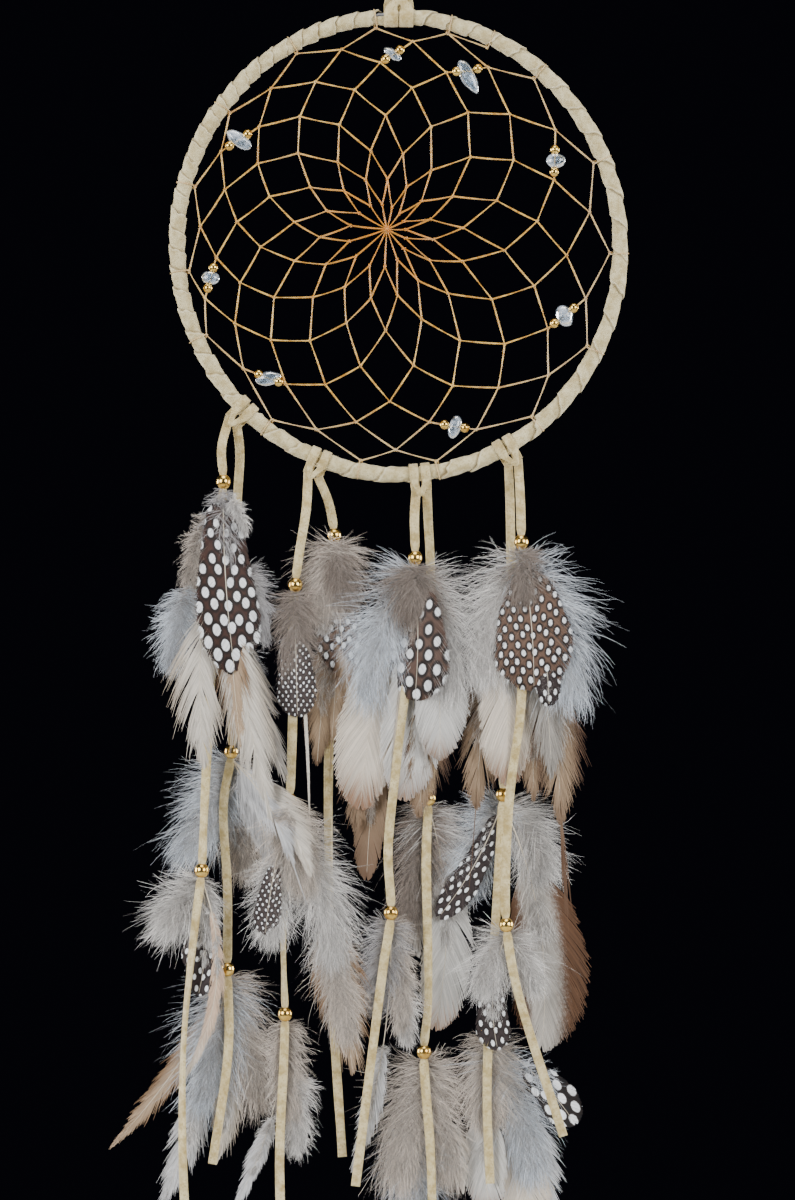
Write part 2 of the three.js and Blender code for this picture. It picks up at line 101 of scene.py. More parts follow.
EYE_DISTANCE = 1600.0
VIEW_HEIGHT = 397.9  # the picture takes in this much of the object's height
VIEW_MIDDLE = (-0.4, -256.1)
SENSOR = 36.0
FLOOR_Z = -720.0  # well below the hanging object
FLOOR_R = 900.0
FLOOR_SIDES = 96
SOFTBOXES = {  # place and width in metres, power in watts
    "softbox_left": ((-1.15, -1.2, 0.15), 0.8, 26),
    "softbox_right": ((1.15, -1.2, 0.15), 0.8, 24),
    "softbox_top": ((0, -0.35, 0.85), 0.7, 7),
    "side_left": ((-1.25, 0.3, -0.2), 0.6, 15),
    "side_right": ((1.25, 0.3, -0.2), 0.6, 15),
}
LIGHT_AIM = (0, 0, -0.25)
NIGHT = (0.0018, 0.0018, 0.0034, 1)  # the colour of the dark room around


def make_camera():
    data = bpy.data.cameras.new("camera")
    data.sensor_width = SENSOR
    data.lens = SENSOR * EYE_DISTANCE / VIEW_HEIGHT
    data.clip_end = 20
    camera = bpy.data.objects.new("camera", data)
    camera.location = Vector((VIEW_MIDDLE[0], -EYE_DISTANCE, VIEW_MIDDLE[1])) * MM
    camera.rotation_euler = (math.radians(90), 0, 0)
    bpy.context.scene.collection.objects.link(camera)
    bpy.context.scene.camera = camera


def make_light():
    """Square softboxes that face the middle of the object, in a nearly black room."""
    for name, (place, size, watts) in SOFTBOXES.items():
        data = bpy.data.lights.new(name, "AREA")
        data.size = size
        data.energy = watts
        lamp = bpy.data.objects.new(name, data)
        lamp.location = place
        aim = Vector(LIGHT_AIM) - Vector(place)
        lamp.rotation_euler = aim.to_track_quat("-Z", "Y").to_euler()
        lamp.visible_camera = False
        bpy.context.scene.collection.objects.link(lamp)
    world = bpy.data.worlds.new("studio")
    world.use_nodes = True
    world.node_tree.nodes["Background"].inputs["Color"].default_value = NIGHT
    bpy.context.scene.world = world


# -------- material nodes


class Tree:
    """A new material's nodes, with a short way to add each kind."""

    def __init__(self, name):
        self.material = bpy.data.materials.new(name)
        self.material.use_nodes = True
        self.tree = self.material.node_tree
        self.shader = self.tree.nodes["Principled BSDF"]

    def node(self, kind, sockets=None, **settings):
        made = self.tree.nodes.new(kind)
        for key, value in settings.items():
            setattr(made, key, value)
        for key, value in (sockets or {}).items():
            self.put(made.inputs[key], value)
        return made

    def put(self, socket, value):
        if isinstance(value, bpy.types.NodeSocket):
            self.tree.links.new(value, socket)
        else:
            socket.default_value = value

    def set(self, **values):
        for key, value in values.items():
            self.put(self.shader.inputs[key.replace("_", " ")], value)

    def math(self, operation, a, b=0.0):
        return self.node("ShaderNodeMath", {0: a, 1: b}, operation=operation).outputs[0]

    def plus(self, a, b):
        return self.math("ADD", a, b)

    def minus(self, a, b):
        return self.math("SUBTRACT", a, b)

    def times(self, a, b):
        return self.math("MULTIPLY", a, b)

    def step(self, value, low, high):
        """0 below low and 1 above high, or the other way round where low is above high."""
        made = self.node("ShaderNodeMapRange", {"Value": value, "From Min": low, "From Max": high})
        made.interpolation_type = "SMOOTHSTEP"
        return made.outputs[0]

    def mix(self, share, a, b, blend="MIX"):
        made = self.node("ShaderNodeMix", data_type="RGBA", blend_type=blend)
        self.put(made.inputs["Factor"], share)
        self.put(made.inputs[6], a)
        self.put(made.inputs[7], b)
        return made.outputs[2]

    def noise(self, vector, scale, detail=3.0, roughness=0.55):
        sockets = {"Vector": vector, "Scale": scale, "Detail": detail, "Roughness": roughness}
        return self.node("ShaderNodeTexNoise", sockets).outputs["Fac"]

    def place(self):
        """Object coordinates, in metres."""
        return self.node("ShaderNodeTexCoord").outputs["Object"]

    def stored(self, name):
        """A vector that the mesh stores at each vertex, as its three parts."""
        read = self.node("ShaderNodeAttribute", attribute_name=name).outputs["Vector"]
        return self.node("ShaderNodeSeparateXYZ", {0: read}).outputs[:3]

    def joined(self, x, y, z=0.0):
        return self.node("ShaderNodeCombineXYZ", {0: x, 1: y, 2: z}).outputs[0]

    def bump(self, height, distance, strength=1.0):
        made = self.node("ShaderNodeBump", {"Height": height, "Distance": distance, "Strength": strength})
        self.put(self.shader.inputs["Normal"], made.outputs[0])


def rgb(red, green, blue):
    """A colour from its 0 to 255 display values."""
    return tuple((v / 255) ** 2.2 for v in (red, green, blue)) + (1.0,)


def suede(name, pale, deep, seams=False):
    """Split suede: a short nap in two shades, dark pores and a rough surface. seams is for a strip that winds
    round a wire: it paints shadow on the strip's edges, where the turns overlap, and a highlight beside them."""
    t = Tree(name)
    place = t.place()
    cloud = t.noise(place, 340, 4)
    nap = t.noise(place, 900, 5, 0.75)
    pores = t.noise(place, 1500, 2)
    shade = t.mix(t.step(cloud, 0.3, 0.7), deep, pale)
    shade = t.mix(t.times(t.step(nap, 0.45, 0.7), 0.6), shade, pale)
    shade = t.mix(t.times(t.step(pores, 0.46, 0.32), 0.8), shade, deep)
    if seams:
        across = t.stored("part")[0]
        # painted shadow along both edges of the strip, where each turn lies on or under the next
        shadow = t.plus(t.step(across, 0.035, 0.0), t.step(across, 0.9, 1.0))
        shade = t.mix(t.times(shadow, 0.55), shade, rgb(120, 98, 66))
        # a painted highlight on the raised edge of each turn, just beside the painted shadow
        painted_seam_highlight = t.step(t.math("ABSOLUTE", t.minus(across, 0.07)), 0.04, 0.0)
        shade = t.mix(t.times(painted_seam_highlight, 0.5), shade, rgb(244, 236, 208))
    t.set(Base_Color=shade, Roughness=0.95, Sheen_Weight=0.35, Sheen_Roughness=0.5, Specular_IOR_Level=0.2)
    t.bump(t.plus(nap, t.times(pores, 0.6)), 0.00035, 0.9)
    return t.material


def sinew_material():
    """Waxed sinew: golden fibres, darker and more orange toward the middle of the web."""
    t = Tree("sinew")
    place = t.place()
    x, _, z = t.node("ShaderNodeSeparateXYZ", {0: place}).outputs[:3]
    across = t.minus(x, float(WEB_CENTRE[0] * MM))
    up = t.minus(z, float(WEB_CENTRE[2] * MM))
    away = t.math("SQRT", t.plus(t.times(across, across), t.times(up, up)))
    gold = t.mix(t.step(away, 0.004, 0.045), rgb(222, 140, 50), rgb(244, 200, 108))
    fibres = t.noise(place, 420, 3, 0.7)
    shade = t.mix(t.step(fibres, 0.36, 0.6), rgb(196, 138, 54), gold)
    edge = t.times(t.step(away, 0.058, 0.072), 0.45)
    pale = t.math("MAXIMUM", edge, t.times(t.step(t.noise(place, 50, 2), 0.58, 0.75), 0.3))
    shade = t.mix(pale, shade, rgb(206, 198, 176))
    t.set(Base_Color=shade, Roughness=0.3, Specular_IOR_Level=0.6, Coat_Weight=0.4, Coat_Roughness=0.2)
    t.bump(fibres, 0.0002, 0.8)
    return t.material


def brass_material():
    """Polished brass with a faint tarnish and fine wipe marks."""
    t = Tree("brass")
    place = t.place()
    tarnish = t.noise(place, 420, 4)
    marks = t.noise(place, 5200, 2)
    t.set(Base_Color=t.mix(t.step(tarnish, 0.35, 0.75), rgb(246, 210, 122), rgb(214, 164, 82)))
    rough = t.node("ShaderNodeMapRange", {"Value": tarnish, "To Min": 0.17, "To Max": 0.32}).outputs[0]
    t.set(Metallic=1.0, Roughness=rough)
    t.bump(marks, 0.00004, 0.4)
    return t.material


def quartz_material():
    """Tumbled quartz: clear, with milky veils inside and a few rusty flecks."""
    t = Tree("quartz")
    place = t.place()
    veil = t.step(t.noise(place, 300, 5, 0.65), 0.42, 0.66)
    fleck = t.times(t.step(t.noise(place, 900, 2), 0.66, 0.74), 0.6)
    shade = t.mix(veil, rgb(206, 226, 244), rgb(226, 236, 250))
    clear = t.minus(0.9, t.times(veil, 0.55))
    t.set(Base_Color=t.mix(fleck, shade, rgb(176, 128, 104)), Transmission_Weight=clear)
    t.set(Roughness=0.08, IOR=1.54, Coat_Weight=0.5, Coat_Roughness=0.05)
    t.bump(t.noise(place, 500, 2), 0.0003, 0.2)
    return t.material


def wire_material():
    t = Tree("steel_wire")
    drawn = t.noise(t.place(), 900, 3)
    t.set(Base_Color=t.mix(drawn, rgb(120, 120, 122), rgb(168, 168, 170)), Metallic=1.0, Roughness=0.4)
    t.bump(drawn, 0.00005, 0.5)
    return t.material


# -------- meshes


class Soup:
    """Vertices in millimetres and faces, gathered for one mesh, with two stored vectors per vertex."""

    def __init__(self):
        self.points = []
        self.faces = []
        self.slots = []
        self.marks = []
        self.count = 0

    def add(self, points, faces, slot=0, barb=None, part=None):
        """points is any array of 3-vectors; faces number them as they lie in the flattened array."""
        points = np.asarray(points, float).reshape(-1, 3)
        faces = np.asarray(faces, int)
        empty = np.zeros((len(points), 3))
        self.points.append(points)
        self.faces.append(faces + self.count)
        self.slots.append(np.full(len(faces), slot))
        self.marks.append([empty if barb is None else barb, empty if part is None else part])
        self.count += len(points)

    def mesh_object(self, name, materials, marked=False):
        mesh = bpy.data.meshes.new(name)
        mesh.vertices.add(self.count)
        mesh.vertices.foreach_set("co", (np.concatenate(self.points) * MM).astype(np.float32).ravel())
        sizes = np.concatenate([np.full(len(f), f.shape[1]) for f in self.faces])
        mesh.loops.add(int(sizes.sum()))
        mesh.loops.foreach_set("vertex_index", np.concatenate([f.ravel() for f in self.faces]))
        mesh.polygons.add(len(sizes))
        mesh.polygons.foreach_set("loop_start", np.cumsum(sizes) - sizes)
        mesh.polygons.foreach_set("material_index", np.concatenate(self.slots))
        for i, key in enumerate(("barb", "part") if marked else ()):
            stored = mesh.attributes.new(key, "FLOAT_VECTOR", "POINT")
            flat = np.concatenate([np.asarray(m[i], float).reshape(-1, 3) for m in self.marks])
            stored.data.foreach_set("vector", flat.astype(np.float32).ravel())
        mesh.update(calc_edges=True)
        mesh.validate()
        mesh.shade_smooth()
        for material in materials:
            mesh.materials.append(material)
        made = bpy.data.objects.new(name, mesh)
        bpy.context.scene.collection.objects.link(made)
        return made


def unit(vectors):
    return vectors / np.maximum(np.linalg.norm(vectors, axis=-1, keepdims=True), 1e-9)


def tangents(path):
    return unit(np.gradient(path, axis=0))


def travelled(path):
    """How far along the path each of its points is."""
    return np.concatenate([[0], np.cumsum(np.linalg.norm(np.diff(path, axis=0), axis=1))])


def grid_faces(rows, columns, closed):
    """Quads of a grid of rows of columns, which closes on itself around each row where closed is true."""
    r = np.arange(rows - 1)[:, None] * columns
    c = np.arange(columns if closed else columns - 1)[None, :]
    n = (c + 1) % columns
    return np.stack([r + c, r + n, r + columns + n, r + columns + c], -1).reshape(-1, 4)


def sweep(soup, path, across, out, section, slot=0):
    """A closed section carried along a path and capped: (across, out) pairs, or one such list per point."""
    section = np.broadcast_to(section, (len(path), *np.shape(section)[-2:]))
    points = path[:, None] + section[..., :1] * across[:, None] + section[..., 1:] * out[:, None]
    rows, columns = points.shape[:2]
    soup.add(points, grid_faces(rows, columns, True), slot)
    soup.add(points[0], [range(columns)[::-1]], slot)
    soup.add(points[-1], [range(columns)], slot)


def turned_about(vectors, axes, angles):
    """Vectors turned about unit axes at right angles to them."""
    angles = np.asarray(angles)[..., None]
    return vectors * np.cos(angles) + np.cross(axes, vectors) * np.sin(angles)


def rounded_bar(width, thickness, corner=0.3):
    """The section of a flat lace: a bar with rounded corners."""
    points = []
    for quarter, (right, up) in enumerate([(1, 1), (-1, 1), (-1, -1), (1, -1)]):
        middle = np.array([right * (width / 2 - corner), up * (thickness / 2 - corner)])
        for step in (0, 1, 2):
            a = math.radians(90 * quarter + 45 * step)
            points.append(middle + corner * np.array([math.cos(a), math.sin(a)]))
    return np.array(points)


def ring_section(radius, sides):
    a = np.arange(sides) * 2 * math.pi / sides
    return radius * np.stack([np.cos(a), np.sin(a)], -1)


def smooth_route(points, step=1.2):
    """A centripetal Catmull-Rom curve through points, as the part's laces follow, in steps of that length."""
    p = np.asarray(points, float)
    p = np.vstack([2 * p[0] - p[1], p, 2 * p[-1] - p[-2]])
    made = []
    for a, b, c, d in zip(p, p[1:], p[2:], p[3:]):
        gaps = [max(math.sqrt(np.linalg.norm(v)), 1e-4) for v in (b - a, c - b, d - c)]
        start = (b - a) / gaps[0] - (c - a) / (gaps[0] + gaps[1]) + (c - b) / gaps[1]
        end = (c - b) / gaps[1] - (d - b) / (gaps[1] + gaps[2]) + (d - c) / gaps[2]
        count = max(2, round(np.linalg.norm(c - b) / step))
        t = (np.arange(count) / count)[:, None]
        h = [2 * t**3 - 3 * t**2 + 1, t**3 - 2 * t**2 + t, 3 * t**2 - 2 * t**3, t**3 - t**2]
        made.append(h[0] * b + h[1] * start * gaps[1] + h[2] * c + h[3] * end * gaps[1])
    return np.vstack([*made, p[-2:-1]])


def dress(piece, body, slot, *nodes):
    """The piece rides on a body and stands for CAD nodes, which it hides. slot is not used."""
    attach(piece, body)
    if nodes:
        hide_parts(*nodes)
    return piece


# -------- hoop geometry


def hoop_point(degrees, inset=0.0):
    a = np.radians(degrees)
    lean = a - HOOP_LEAN
    r = HOOP_HALF_WIDTH * HOOP_HALF_HEIGHT / np.hypot(
        HOOP_HALF_HEIGHT * np.cos(lean), HOOP_HALF_WIDTH * np.sin(lean)) - inset
    return HOOP_CENTRE + np.stack([r * np.cos(a), 0 * r, r * np.sin(a)], -1)


def hoop_axes(degrees):
    """Along the wire, to the back and toward the hoop's middle, at an angle around the hoop."""
    along = unit(hoop_point(degrees + 0.5) - hoop_point(degrees - 0.5))
    return along, BACK, np.cross(along, BACK)


def throat(name, side):
    """Where a tail leaves its hitch: side -1 is the left tail."""
    degrees = HITCH_ANGLES[name]
    place = hoop_point(degrees, -THROAT_R) + hoop_axes(degrees)[0] * side * TAIL_SPREAD
    place[1] = TAIL_DEPTH
    return place


# -------- laces

FRONT_Y = -3.5  # of the front tails
BACK_Y = 3.5  # and the back ones
EDGE_WANDER = 0.022  # of a lace's width, by hand cutting
BEAD_SQUEEZE = 0.42  # how much narrower a lace is in a bead and in the front of a hitch
TWISTS = {  # where a lace turns its edge to the front: height, how far that reaches and the turn in degrees
    "a1": [(-330, 12, 40), (-400, 46, 66)],
    "a2": [(-330, 30, 28)],
    "b1": [(-376, 20, 70), (-262, 10, 30)],
    "b2": [(-345, 26, 35)],
    "c1": [(-300, 14, -32)],
    "c2": [(-385, 22, 40)],
    "d1": [(-306, 12, 25)],
    "d2": [(-283, 14, 30)],
}
HITCH_SIDES = {"a1": -1, "a2": 1, "b1": -1, "b2": 1, "c1": -1, "c2": 1, "d1": 1, "d2": -1}
HANGS = {  # the points that each tail hangs through, across and up; the last is its cut end
    "a1": [(-58.6, -206), (-58, -217), (-59, -232), (-61, -262), (-63.2, -302.5), (-64.6, -332),
           (-65.2, -345.6), (-67.2, -362), (-71, -400), (-71.6, -430), (-70.9, -455), (-69.5, -472)],
    "a2": [(-52.8, -207), (-53.6, -223), (-54.6, -265), (-55.6, -306.5), (-58.2, -324),
           (-56.9, -352.3), (-56.9, -378.8), (-56.6, -405.3), (-61.9, -443.5)],
    "b1": [(-30.6, -226), (-32.8, -240), (-34.2, -251.1), (-35, -264), (-35, -290.9), (-36, -322.4),
           (-38.2, -363), (-38, -380), (-37.6, -393.1), (-38, -408), (-39.4, -440), (-38.8, -468)],
    "b2": [(-23.2, -224), (-21.4, -234.6), (-21, -247), (-22.8, -289.3), (-23.4, -332.4),
           (-21.6, -395), (-18.7, -441.1)],
    "c1": [(5.2, -229), (5.4, -242.2), (3.4, -275), (-0.6, -309.2), (-3.5, -339),
           (-2.6, -359.6), (-5.2, -378), (-14.3, -450)],
    "c2": [(9.8, -230), (10.4, -241.2), (11.4, -300.9), (10, -322.1), (9.2, -340),
           (9.8, -390), (8.4, -406.3), (10.6, -440), (11.4, -472)],
    "d1": [(40.2, -222), (40.6, -236.9), (41.2, -270), (40.2, -294.3), (36.9, -319.1),
           (35.3, -350), (35.6, -363.6), (39, -384), (54.5, -433.5)],
    "d2": [(37, -225), (37.2, -260), (34.6, -320.8), (32.4, -360), (29.9, -399),
           (29.4, -425), (30.4, -450)],
}


BEADS = {  # bunch: the height of the bead that it hangs from
    "a1_upper": -217, "a1_lower": -345.6, "a2_upper": -306.5, "a2_lower": -378.8,
    "b1_upper": -251.1, "b1_middle": -322.4, "b1_lower": -393.1, "b2_upper": -234.6,
    "c1_upper": -242.2, "c1_lower": -359.6, "c2_upper": -322.1, "c2_lower": -406.3,
    "d1_upper": -236.9, "d1_lower": -363.6, "d2_upper": -320.8, "d2_lower": -399,
}


def lace_route(name):
    depth = FRONT_Y if name[1] == "1" else BACK_Y
    start = throat(name[0], HITCH_SIDES[name])
    return smooth_route([start, *[(x, depth, z) for x, z in HANGS[name]]])


ROUTES = {name: lace_route(name) for name in HANGS}


def tail_body(name):
    return ("front_tail_" if name[1] == "1" else "back_tail_") + name[0]


def ribbon(soup, path, facing, rng, width=LACE_WIDTH, thickness=LACE_THICKNESS, turns=0.0, squeeze=1.0):
    """A flat lace with hand-cut edges along a path, its face toward facing and turned about its length by
    turns. squeeze narrows it, as a number or one for each point of the path."""
    along = tangents(path)
    across = unit(np.cross(along, facing))
    across = turned_about(across, along, np.broadcast_to(turns, len(path)))
    out = np.cross(across, along)
    far = travelled(path)
    waves = [rng.uniform(0.3, 1) * np.sin(far / rng.uniform(3, 16) + rng.uniform(0, 6)) for _ in range(5)]
    scale = 1 + EDGE_WANDER * sum(waves)
    bar = rounded_bar(width, thickness)
    section = bar[None] * np.stack([scale * squeeze, 1 + 0.3 * (scale - 1)], -1)[:, None]
    sweep(soup, path, across, out, section)


def make_lace(name, material, rng):
    path = ROUTES[name]
    turns = sum(math.radians(turn) * np.exp(-(((path[:, 2] - height) / reach) ** 2))
                for height, reach, turn in TWISTS[name])
    heights = [z for bunch, z in BEADS.items() if bunch.startswith(name)]
    pinch = sum(np.exp(-(((path[:, 2] - z) / 3.0) ** 4)) for z in heights)
    soup = Soup()
    ribbon(soup, path, FRONT, rng, turns=turns, squeeze=1 - BEAD_SQUEEZE * pinch)
    piece = soup.mesh_object(f"lace_tail_{name}", [material])
    return dress(piece, tail_body(name), "lace", f"lace_{name}")


HANGER_WIDTH = 3.5
LOOP_CROWN_R = 3.0
LOOP_FOOT = -57.0  # where the loop leaves the hanger's hitch
LOOP_TURN = (4.0, 30.0)  # the heights above the foot between which a leg makes a quarter turn


def loop_route():
    """One leg up, over the nail and down: the lace's middle line."""
    crown_r = LOOP_CROWN_R + LACE_THICKNESS / 2
    leg = [(TAIL_SPREAD, LOOP_FOOT), (TAIL_SPREAD, LOOP_FOOT + 10), (2.6, LOOP_FOOT + 28),
           (crown_r, -10), (crown_r, -LOOP_CROWN_R)]
    arch = [(crown_r * math.cos(math.radians(a)), crown_r * math.sin(math.radians(a)) - LOOP_CROWN_R)
            for a in (30, 60)]
    right = leg + arch
    left = [(-x, z) for x, z in right]
    crown = [(0, crown_r - LOOP_CROWN_R)]
    return smooth_route([(x, 0, z) for x, z in left + crown + right[::-1]])


def make_loop(material, rng):
    soup = Soup()
    path = loop_route()
    low, high = LOOP_TURN
    quarter = np.clip((path[:, 2:] - LOOP_FOOT - low) / (high - low), 0, 1)
    quarter = quarter * quarter * (3 - 2 * quarter) * math.pi / 2
    inward = unit((np.array([0, 0, -20.0]) - path) * [1, 0, 1])
    upright = np.abs(inward[:, 2:]) < 0.95
    sideways = np.where(upright, np.sign(inward[:, :1]) * np.array([1.0, 0, 0]), inward)
    ribbon(soup, path, FRONT * np.cos(quarter) + sideways * np.sin(quarter), rng, HANGER_WIDTH)
    piece = soup.mesh_object("hanging_loop_lace", [material])
    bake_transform(piece)
    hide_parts("hanging_loop")
    return piece, path


def make_loop_knot(material, rng):
    """The overhand knot above the nail, with the two cut ends of the lace standing up from it."""
    soup = Soup()
    low, high = (np.array(corner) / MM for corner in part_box("loop_knot"))
    middle = np.array([0, 0, low[2] + 3.0])
    t = np.linspace(0, 2 * math.pi, 91)
    x, z = np.sin(t) + 2 * np.sin(2 * t), np.cos(t) - 2 * np.cos(2 * t)
    trefoil = np.stack([0.92 * x, -1.3 * np.sin(3 * t), 0.62 * z], -1)
    ribbon(soup, middle + trefoil, FRONT, rng, 1.9, 0.8, 0.9 * np.sin(3 * t))
    for side in (-1, 1):
        top = np.array([side * 2.6, 0.4 * side, high[2] - 0.3])
        low_part = [middle + [side * 0.6, 0.3 * side, 1.2], middle + [side * 1.2, 0.3 * side, 4]]
        ribbon(soup, smooth_route([*low_part, top]), FRONT, rng, 2.8, 0.9)
    return dress(soup.mesh_object("loop_knot_lace", [material]), "hanging_loop", "lace", "loop_knot")


# -------- hitches

BIGHT_DROP = 6.6  # from the middle of the wire to the lowest point of the bight in front


def make_hitch(name, degrees, body, node, material, rng, width=3.1, offset=BAND_OFFSET, bight=BIGHT_DROP):
    """A lark's head: up from a throat behind the hoop, over it, round the bight in front and back again."""
    along, back, inward = hoop_axes(degrees)
    half = [(TAIL_SPREAD, TAIL_DEPTH, -THROAT_R), (offset * 0.97, 1.7, -4.3)]
    for a in (38, 8, -22, -55, -90, -125, -160, -190, -215):
        turn = math.radians(a)
        half.append((offset, HITCH_R * math.cos(turn), -HITCH_R * math.sin(turn)))
    half.append((offset * 0.86, -2.75, -3.2))
    half.append((offset * 0.55, -2.5, -4.6 - 0.25 * (bight - BIGHT_DROP)))
    low = (0, -2.3, -bight)
    skew = rng.uniform(-0.35, 0.35)
    left = [(-x, y, z) for x, y, z in reversed(half)]
    local = smooth_route([*half, low, *left], 0.45)
    local[:, 0] += skew * np.clip(-local[:, 2] / bight, 0, 1) * (local[:, 1] < 0)
    path = hoop_point(degrees) + local[:, :1] * along + local[:, 1:2] * back + local[:, 2:] * inward
    below = np.clip((-local[:, 2] - 1.5) / 2.5, 0, 1)
    flat = below[:, None]
    radial = unit(local * [0, 1, 1])
    facing = unit(radial * (1 - flat) + np.sign(local[:, 1:2]) * BACK * flat)
    facing = facing[:, :1] * along + facing[:, 1:2] * back + facing[:, 2:] * inward
    soup = Soup()
    squeeze = 1 - BEAD_SQUEEZE * below * (local[:, 1] < 0)
    ribbon(soup, path, facing, rng, width, 0.75, squeeze=squeeze)
    return dress(soup.mesh_object(name, [material]), body, "lace", node)


# -------- hoop wrap

WRAP_ENDS = (91, 449)  # degrees around the hoop where the strip begins and ends, under the hanger
TIGHT_PITCH = 5.5  # between the seams at the upper left
WIDE_PITCH = 11.0  # and at the right
TIGHT_ANGLE = 140.0
TURN_STEPS = 28
RAGGED_WAVES = 8
STRIP_EDGE = 0.14  # how far the strip's outer edge stands out from the wrap's mean radius
STRIP_ACROSS = np.array([0, 0.015, 0.05, *np.linspace(0.12, 0.92, 11), 1.02, 1.12])  # in pitches
STRIP_SLOPE = ([0, 0.015, 0.05, 0.25, 0.5, 0.75, 0.95, 1.12], [0.6, 0.12, 0, 0.08, 0.22, 0.36, 0.5, 0.6])


def make_wrap(material, rng):
    """The suede strip wound round the wire: each turn's edge lies on the turn before."""
    fine = np.linspace(*WRAP_ENDS, 4000)
    ring = hoop_point(fine)
    far = travelled(ring)
    tight = 0.5 + 0.5 * np.cos(np.radians(fine - TIGHT_ANGLE))
    pitch = WIDE_PITCH + (TIGHT_PITCH - WIDE_PITCH) * tight**1.5
    turn_count = np.concatenate([[0], np.cumsum(np.diff(far) / pitch[1:])])
    turns = np.arange(0, turn_count[-1], 1 / TURN_STEPS)
    across = STRIP_ACROSS[None]
    drop = np.interp(across, *STRIP_SLOPE)
    where = np.interp(turns, turn_count, far)[:, None]
    local_pitch = np.interp(turns, turn_count, pitch)[:, None]
    ragged = 0
    for _ in range(RAGGED_WAVES):
        ragged = ragged + rng.uniform(0.08, 0.24) * np.sin(turns * rng.uniform(2, 40) + rng.uniform(0, 6))
    ragged = ragged[:, None] * np.exp(-6 * across)
    along_wire = where + across * local_pitch + ragged
    degrees = np.interp(np.clip(along_wire, 0, far[-1]), far, fine)
    centre = hoop_point(degrees)
    a = 2 * math.pi * turns[:, None] + 0 * across
    inward = unit(HOOP_CENTRE - centre)
    lumps = 0.09 * np.sin(5 * turns)[:, None] + 0.07 * np.sin(degrees * 1.7 + 3 * a)
    turn = np.floor(turns).astype(int)
    lifted = rng.uniform(-0.1, 0.22, turn[-1] + 2)
    lift = lifted[turn] * (1 - turns % 1) + lifted[turn + 1] * (turns % 1)
    crease = rng.uniform(0, 1, turn[-1] + 2)[turn][:, None] + 0.12 * np.sin(a)
    fold = 0.2 * np.exp(-(((across - crease) / 0.07) ** 2)) * (0.5 + 0.5 * np.sin(a * 0.5 + 4 * crease))
    ties = np.array([*WEB_ANGLES, START_ANGLE + 360.0])
    off = np.abs((degrees[..., None] - ties + 180) % 360 - 180).min(-1)
    pinch = 0.3 * np.exp(-((off / 0.45) ** 2))
    radius = (WRAP_R + STRIP_EDGE - drop + lumps + lift[:, None] - fold - pinch)[..., None]
    points = centre + radius * (np.cos(a)[..., None] * FRONT + np.sin(a)[..., None] * inward)
    soup = Soup()
    mark = np.stack([np.broadcast_to(across, a.shape), 0 * a, 0 * a], -1).reshape(-1, 3)
    soup.add(points, grid_faces(*a.shape, False), 0, mark, mark)
    piece = soup.mesh_object("hoop_wrap_strip", [material], marked=True)
    return dress(piece, "hoop", "wrap", "hoop_wrap")


# -------- web

WEB_CENTRE = HOOP_CENTRE + [-3.9, 0, 5.5]
WEB_ANGLES = [96, 118, 142, 164, 187, 205, 234, 260, 280, 308, 332, 358, 383, 411, 437]
START_ANGLE = 66.0  # where the thread was first tied on
WEB_PULLS = [0.05, 0.09, 0.115, 0.18, 0.28, 0.33, 0.5]  # how far each row is drawn toward the middle
WEB_PULL_SKEW = 0.18  # how much farther in the direction below
WEB_SKEW_ANGLE = 20.0
WEB_SLIP = 0.035  # how far a knot lies off the middle of the span that it hangs on
ROW_LIFT = 0.32  # how far the rows bow to the front and the back in turn
LOOP_R = 3.45  # from the middle of the wire to where the thread leaves the hoop
TIE_R = 2.66  # of the thread's loops round the wrap
PLY_R = 0.17
PLY_PITCH = 34.0  # the length of a turn of the twist
KNOT_THREAD_R = 0.2


def web_rows():
    """Rows of knots: row 0 on the hoop, each later row hung on the row before and drawn to the middle."""
    rows = [hoop_point(np.array(WEB_ANGLES, float), LOOP_R)]
    for pull in WEB_PULLS:
        last = rows[-1]
        hung = last + (np.roll(last, -1, axis=0) - last) * (0.5 - WEB_SLIP)
        around = np.arctan2(hung[:, 2] - HOOP_CENTRE[2], hung[:, 0] - HOOP_CENTRE[0])
        share = pull * (1 + WEB_PULL_SKEW * np.cos(around - math.radians(WEB_SKEW_ANGLE)))
        rows.append(hung + (WEB_CENTRE - hung) * share[:, None])
    return rows


WEB_ROWS = web_rows()


def two_ply(soup, path, slack=0.0, radius=PLY_R):
    """A thread of two fibres twisted together along a path."""
    along = tangents(path)
    across = unit(np.cross(along, BACK + 1e-3))
    out = np.cross(across, along)
    a = travelled(path) * 2 * math.pi / PLY_PITCH + slack
    for ply in (0, math.pi):
        offset = radius * 0.75 * (np.cos(a + ply)[:, None] * across + np.sin(a + ply)[:, None] * out)
        sweep(soup, path + offset, across, out, ring_section(radius, 5))


def evenly(points, step=0.55):
    """Straight runs between points, cut into short steps."""
    made = []
    for a, b in zip(points, points[1:]):
        count = max(2, round(float(np.linalg.norm(b - a)) / step))
        made.append(a + (b - a) * (np.arange(count) / count)[:, None])
    return np.vstack([*made, points[-1:]])


def knot_loop(soup, place, along, size, turns, rng):
    """A few tight turns of thread round another thread that runs along."""
    along = unit(along)
    across = unit(np.cross(along, BACK))
    a = np.linspace(0, 2 * math.pi * turns, int(14 * turns)) + rng.uniform(0, 6)
    shift = np.linspace(-0.5, 0.5, len(a)) * turns * 0.5
    path = place + size * (np.cos(a)[:, None] * across + np.sin(a)[:, None] * BACK) + shift[:, None] * along
    outward = unit(np.cross(tangents(path), along))
    sweep(soup, path, outward, np.broadcast_to(along, path.shape), ring_section(KNOT_THREAD_R, 6))


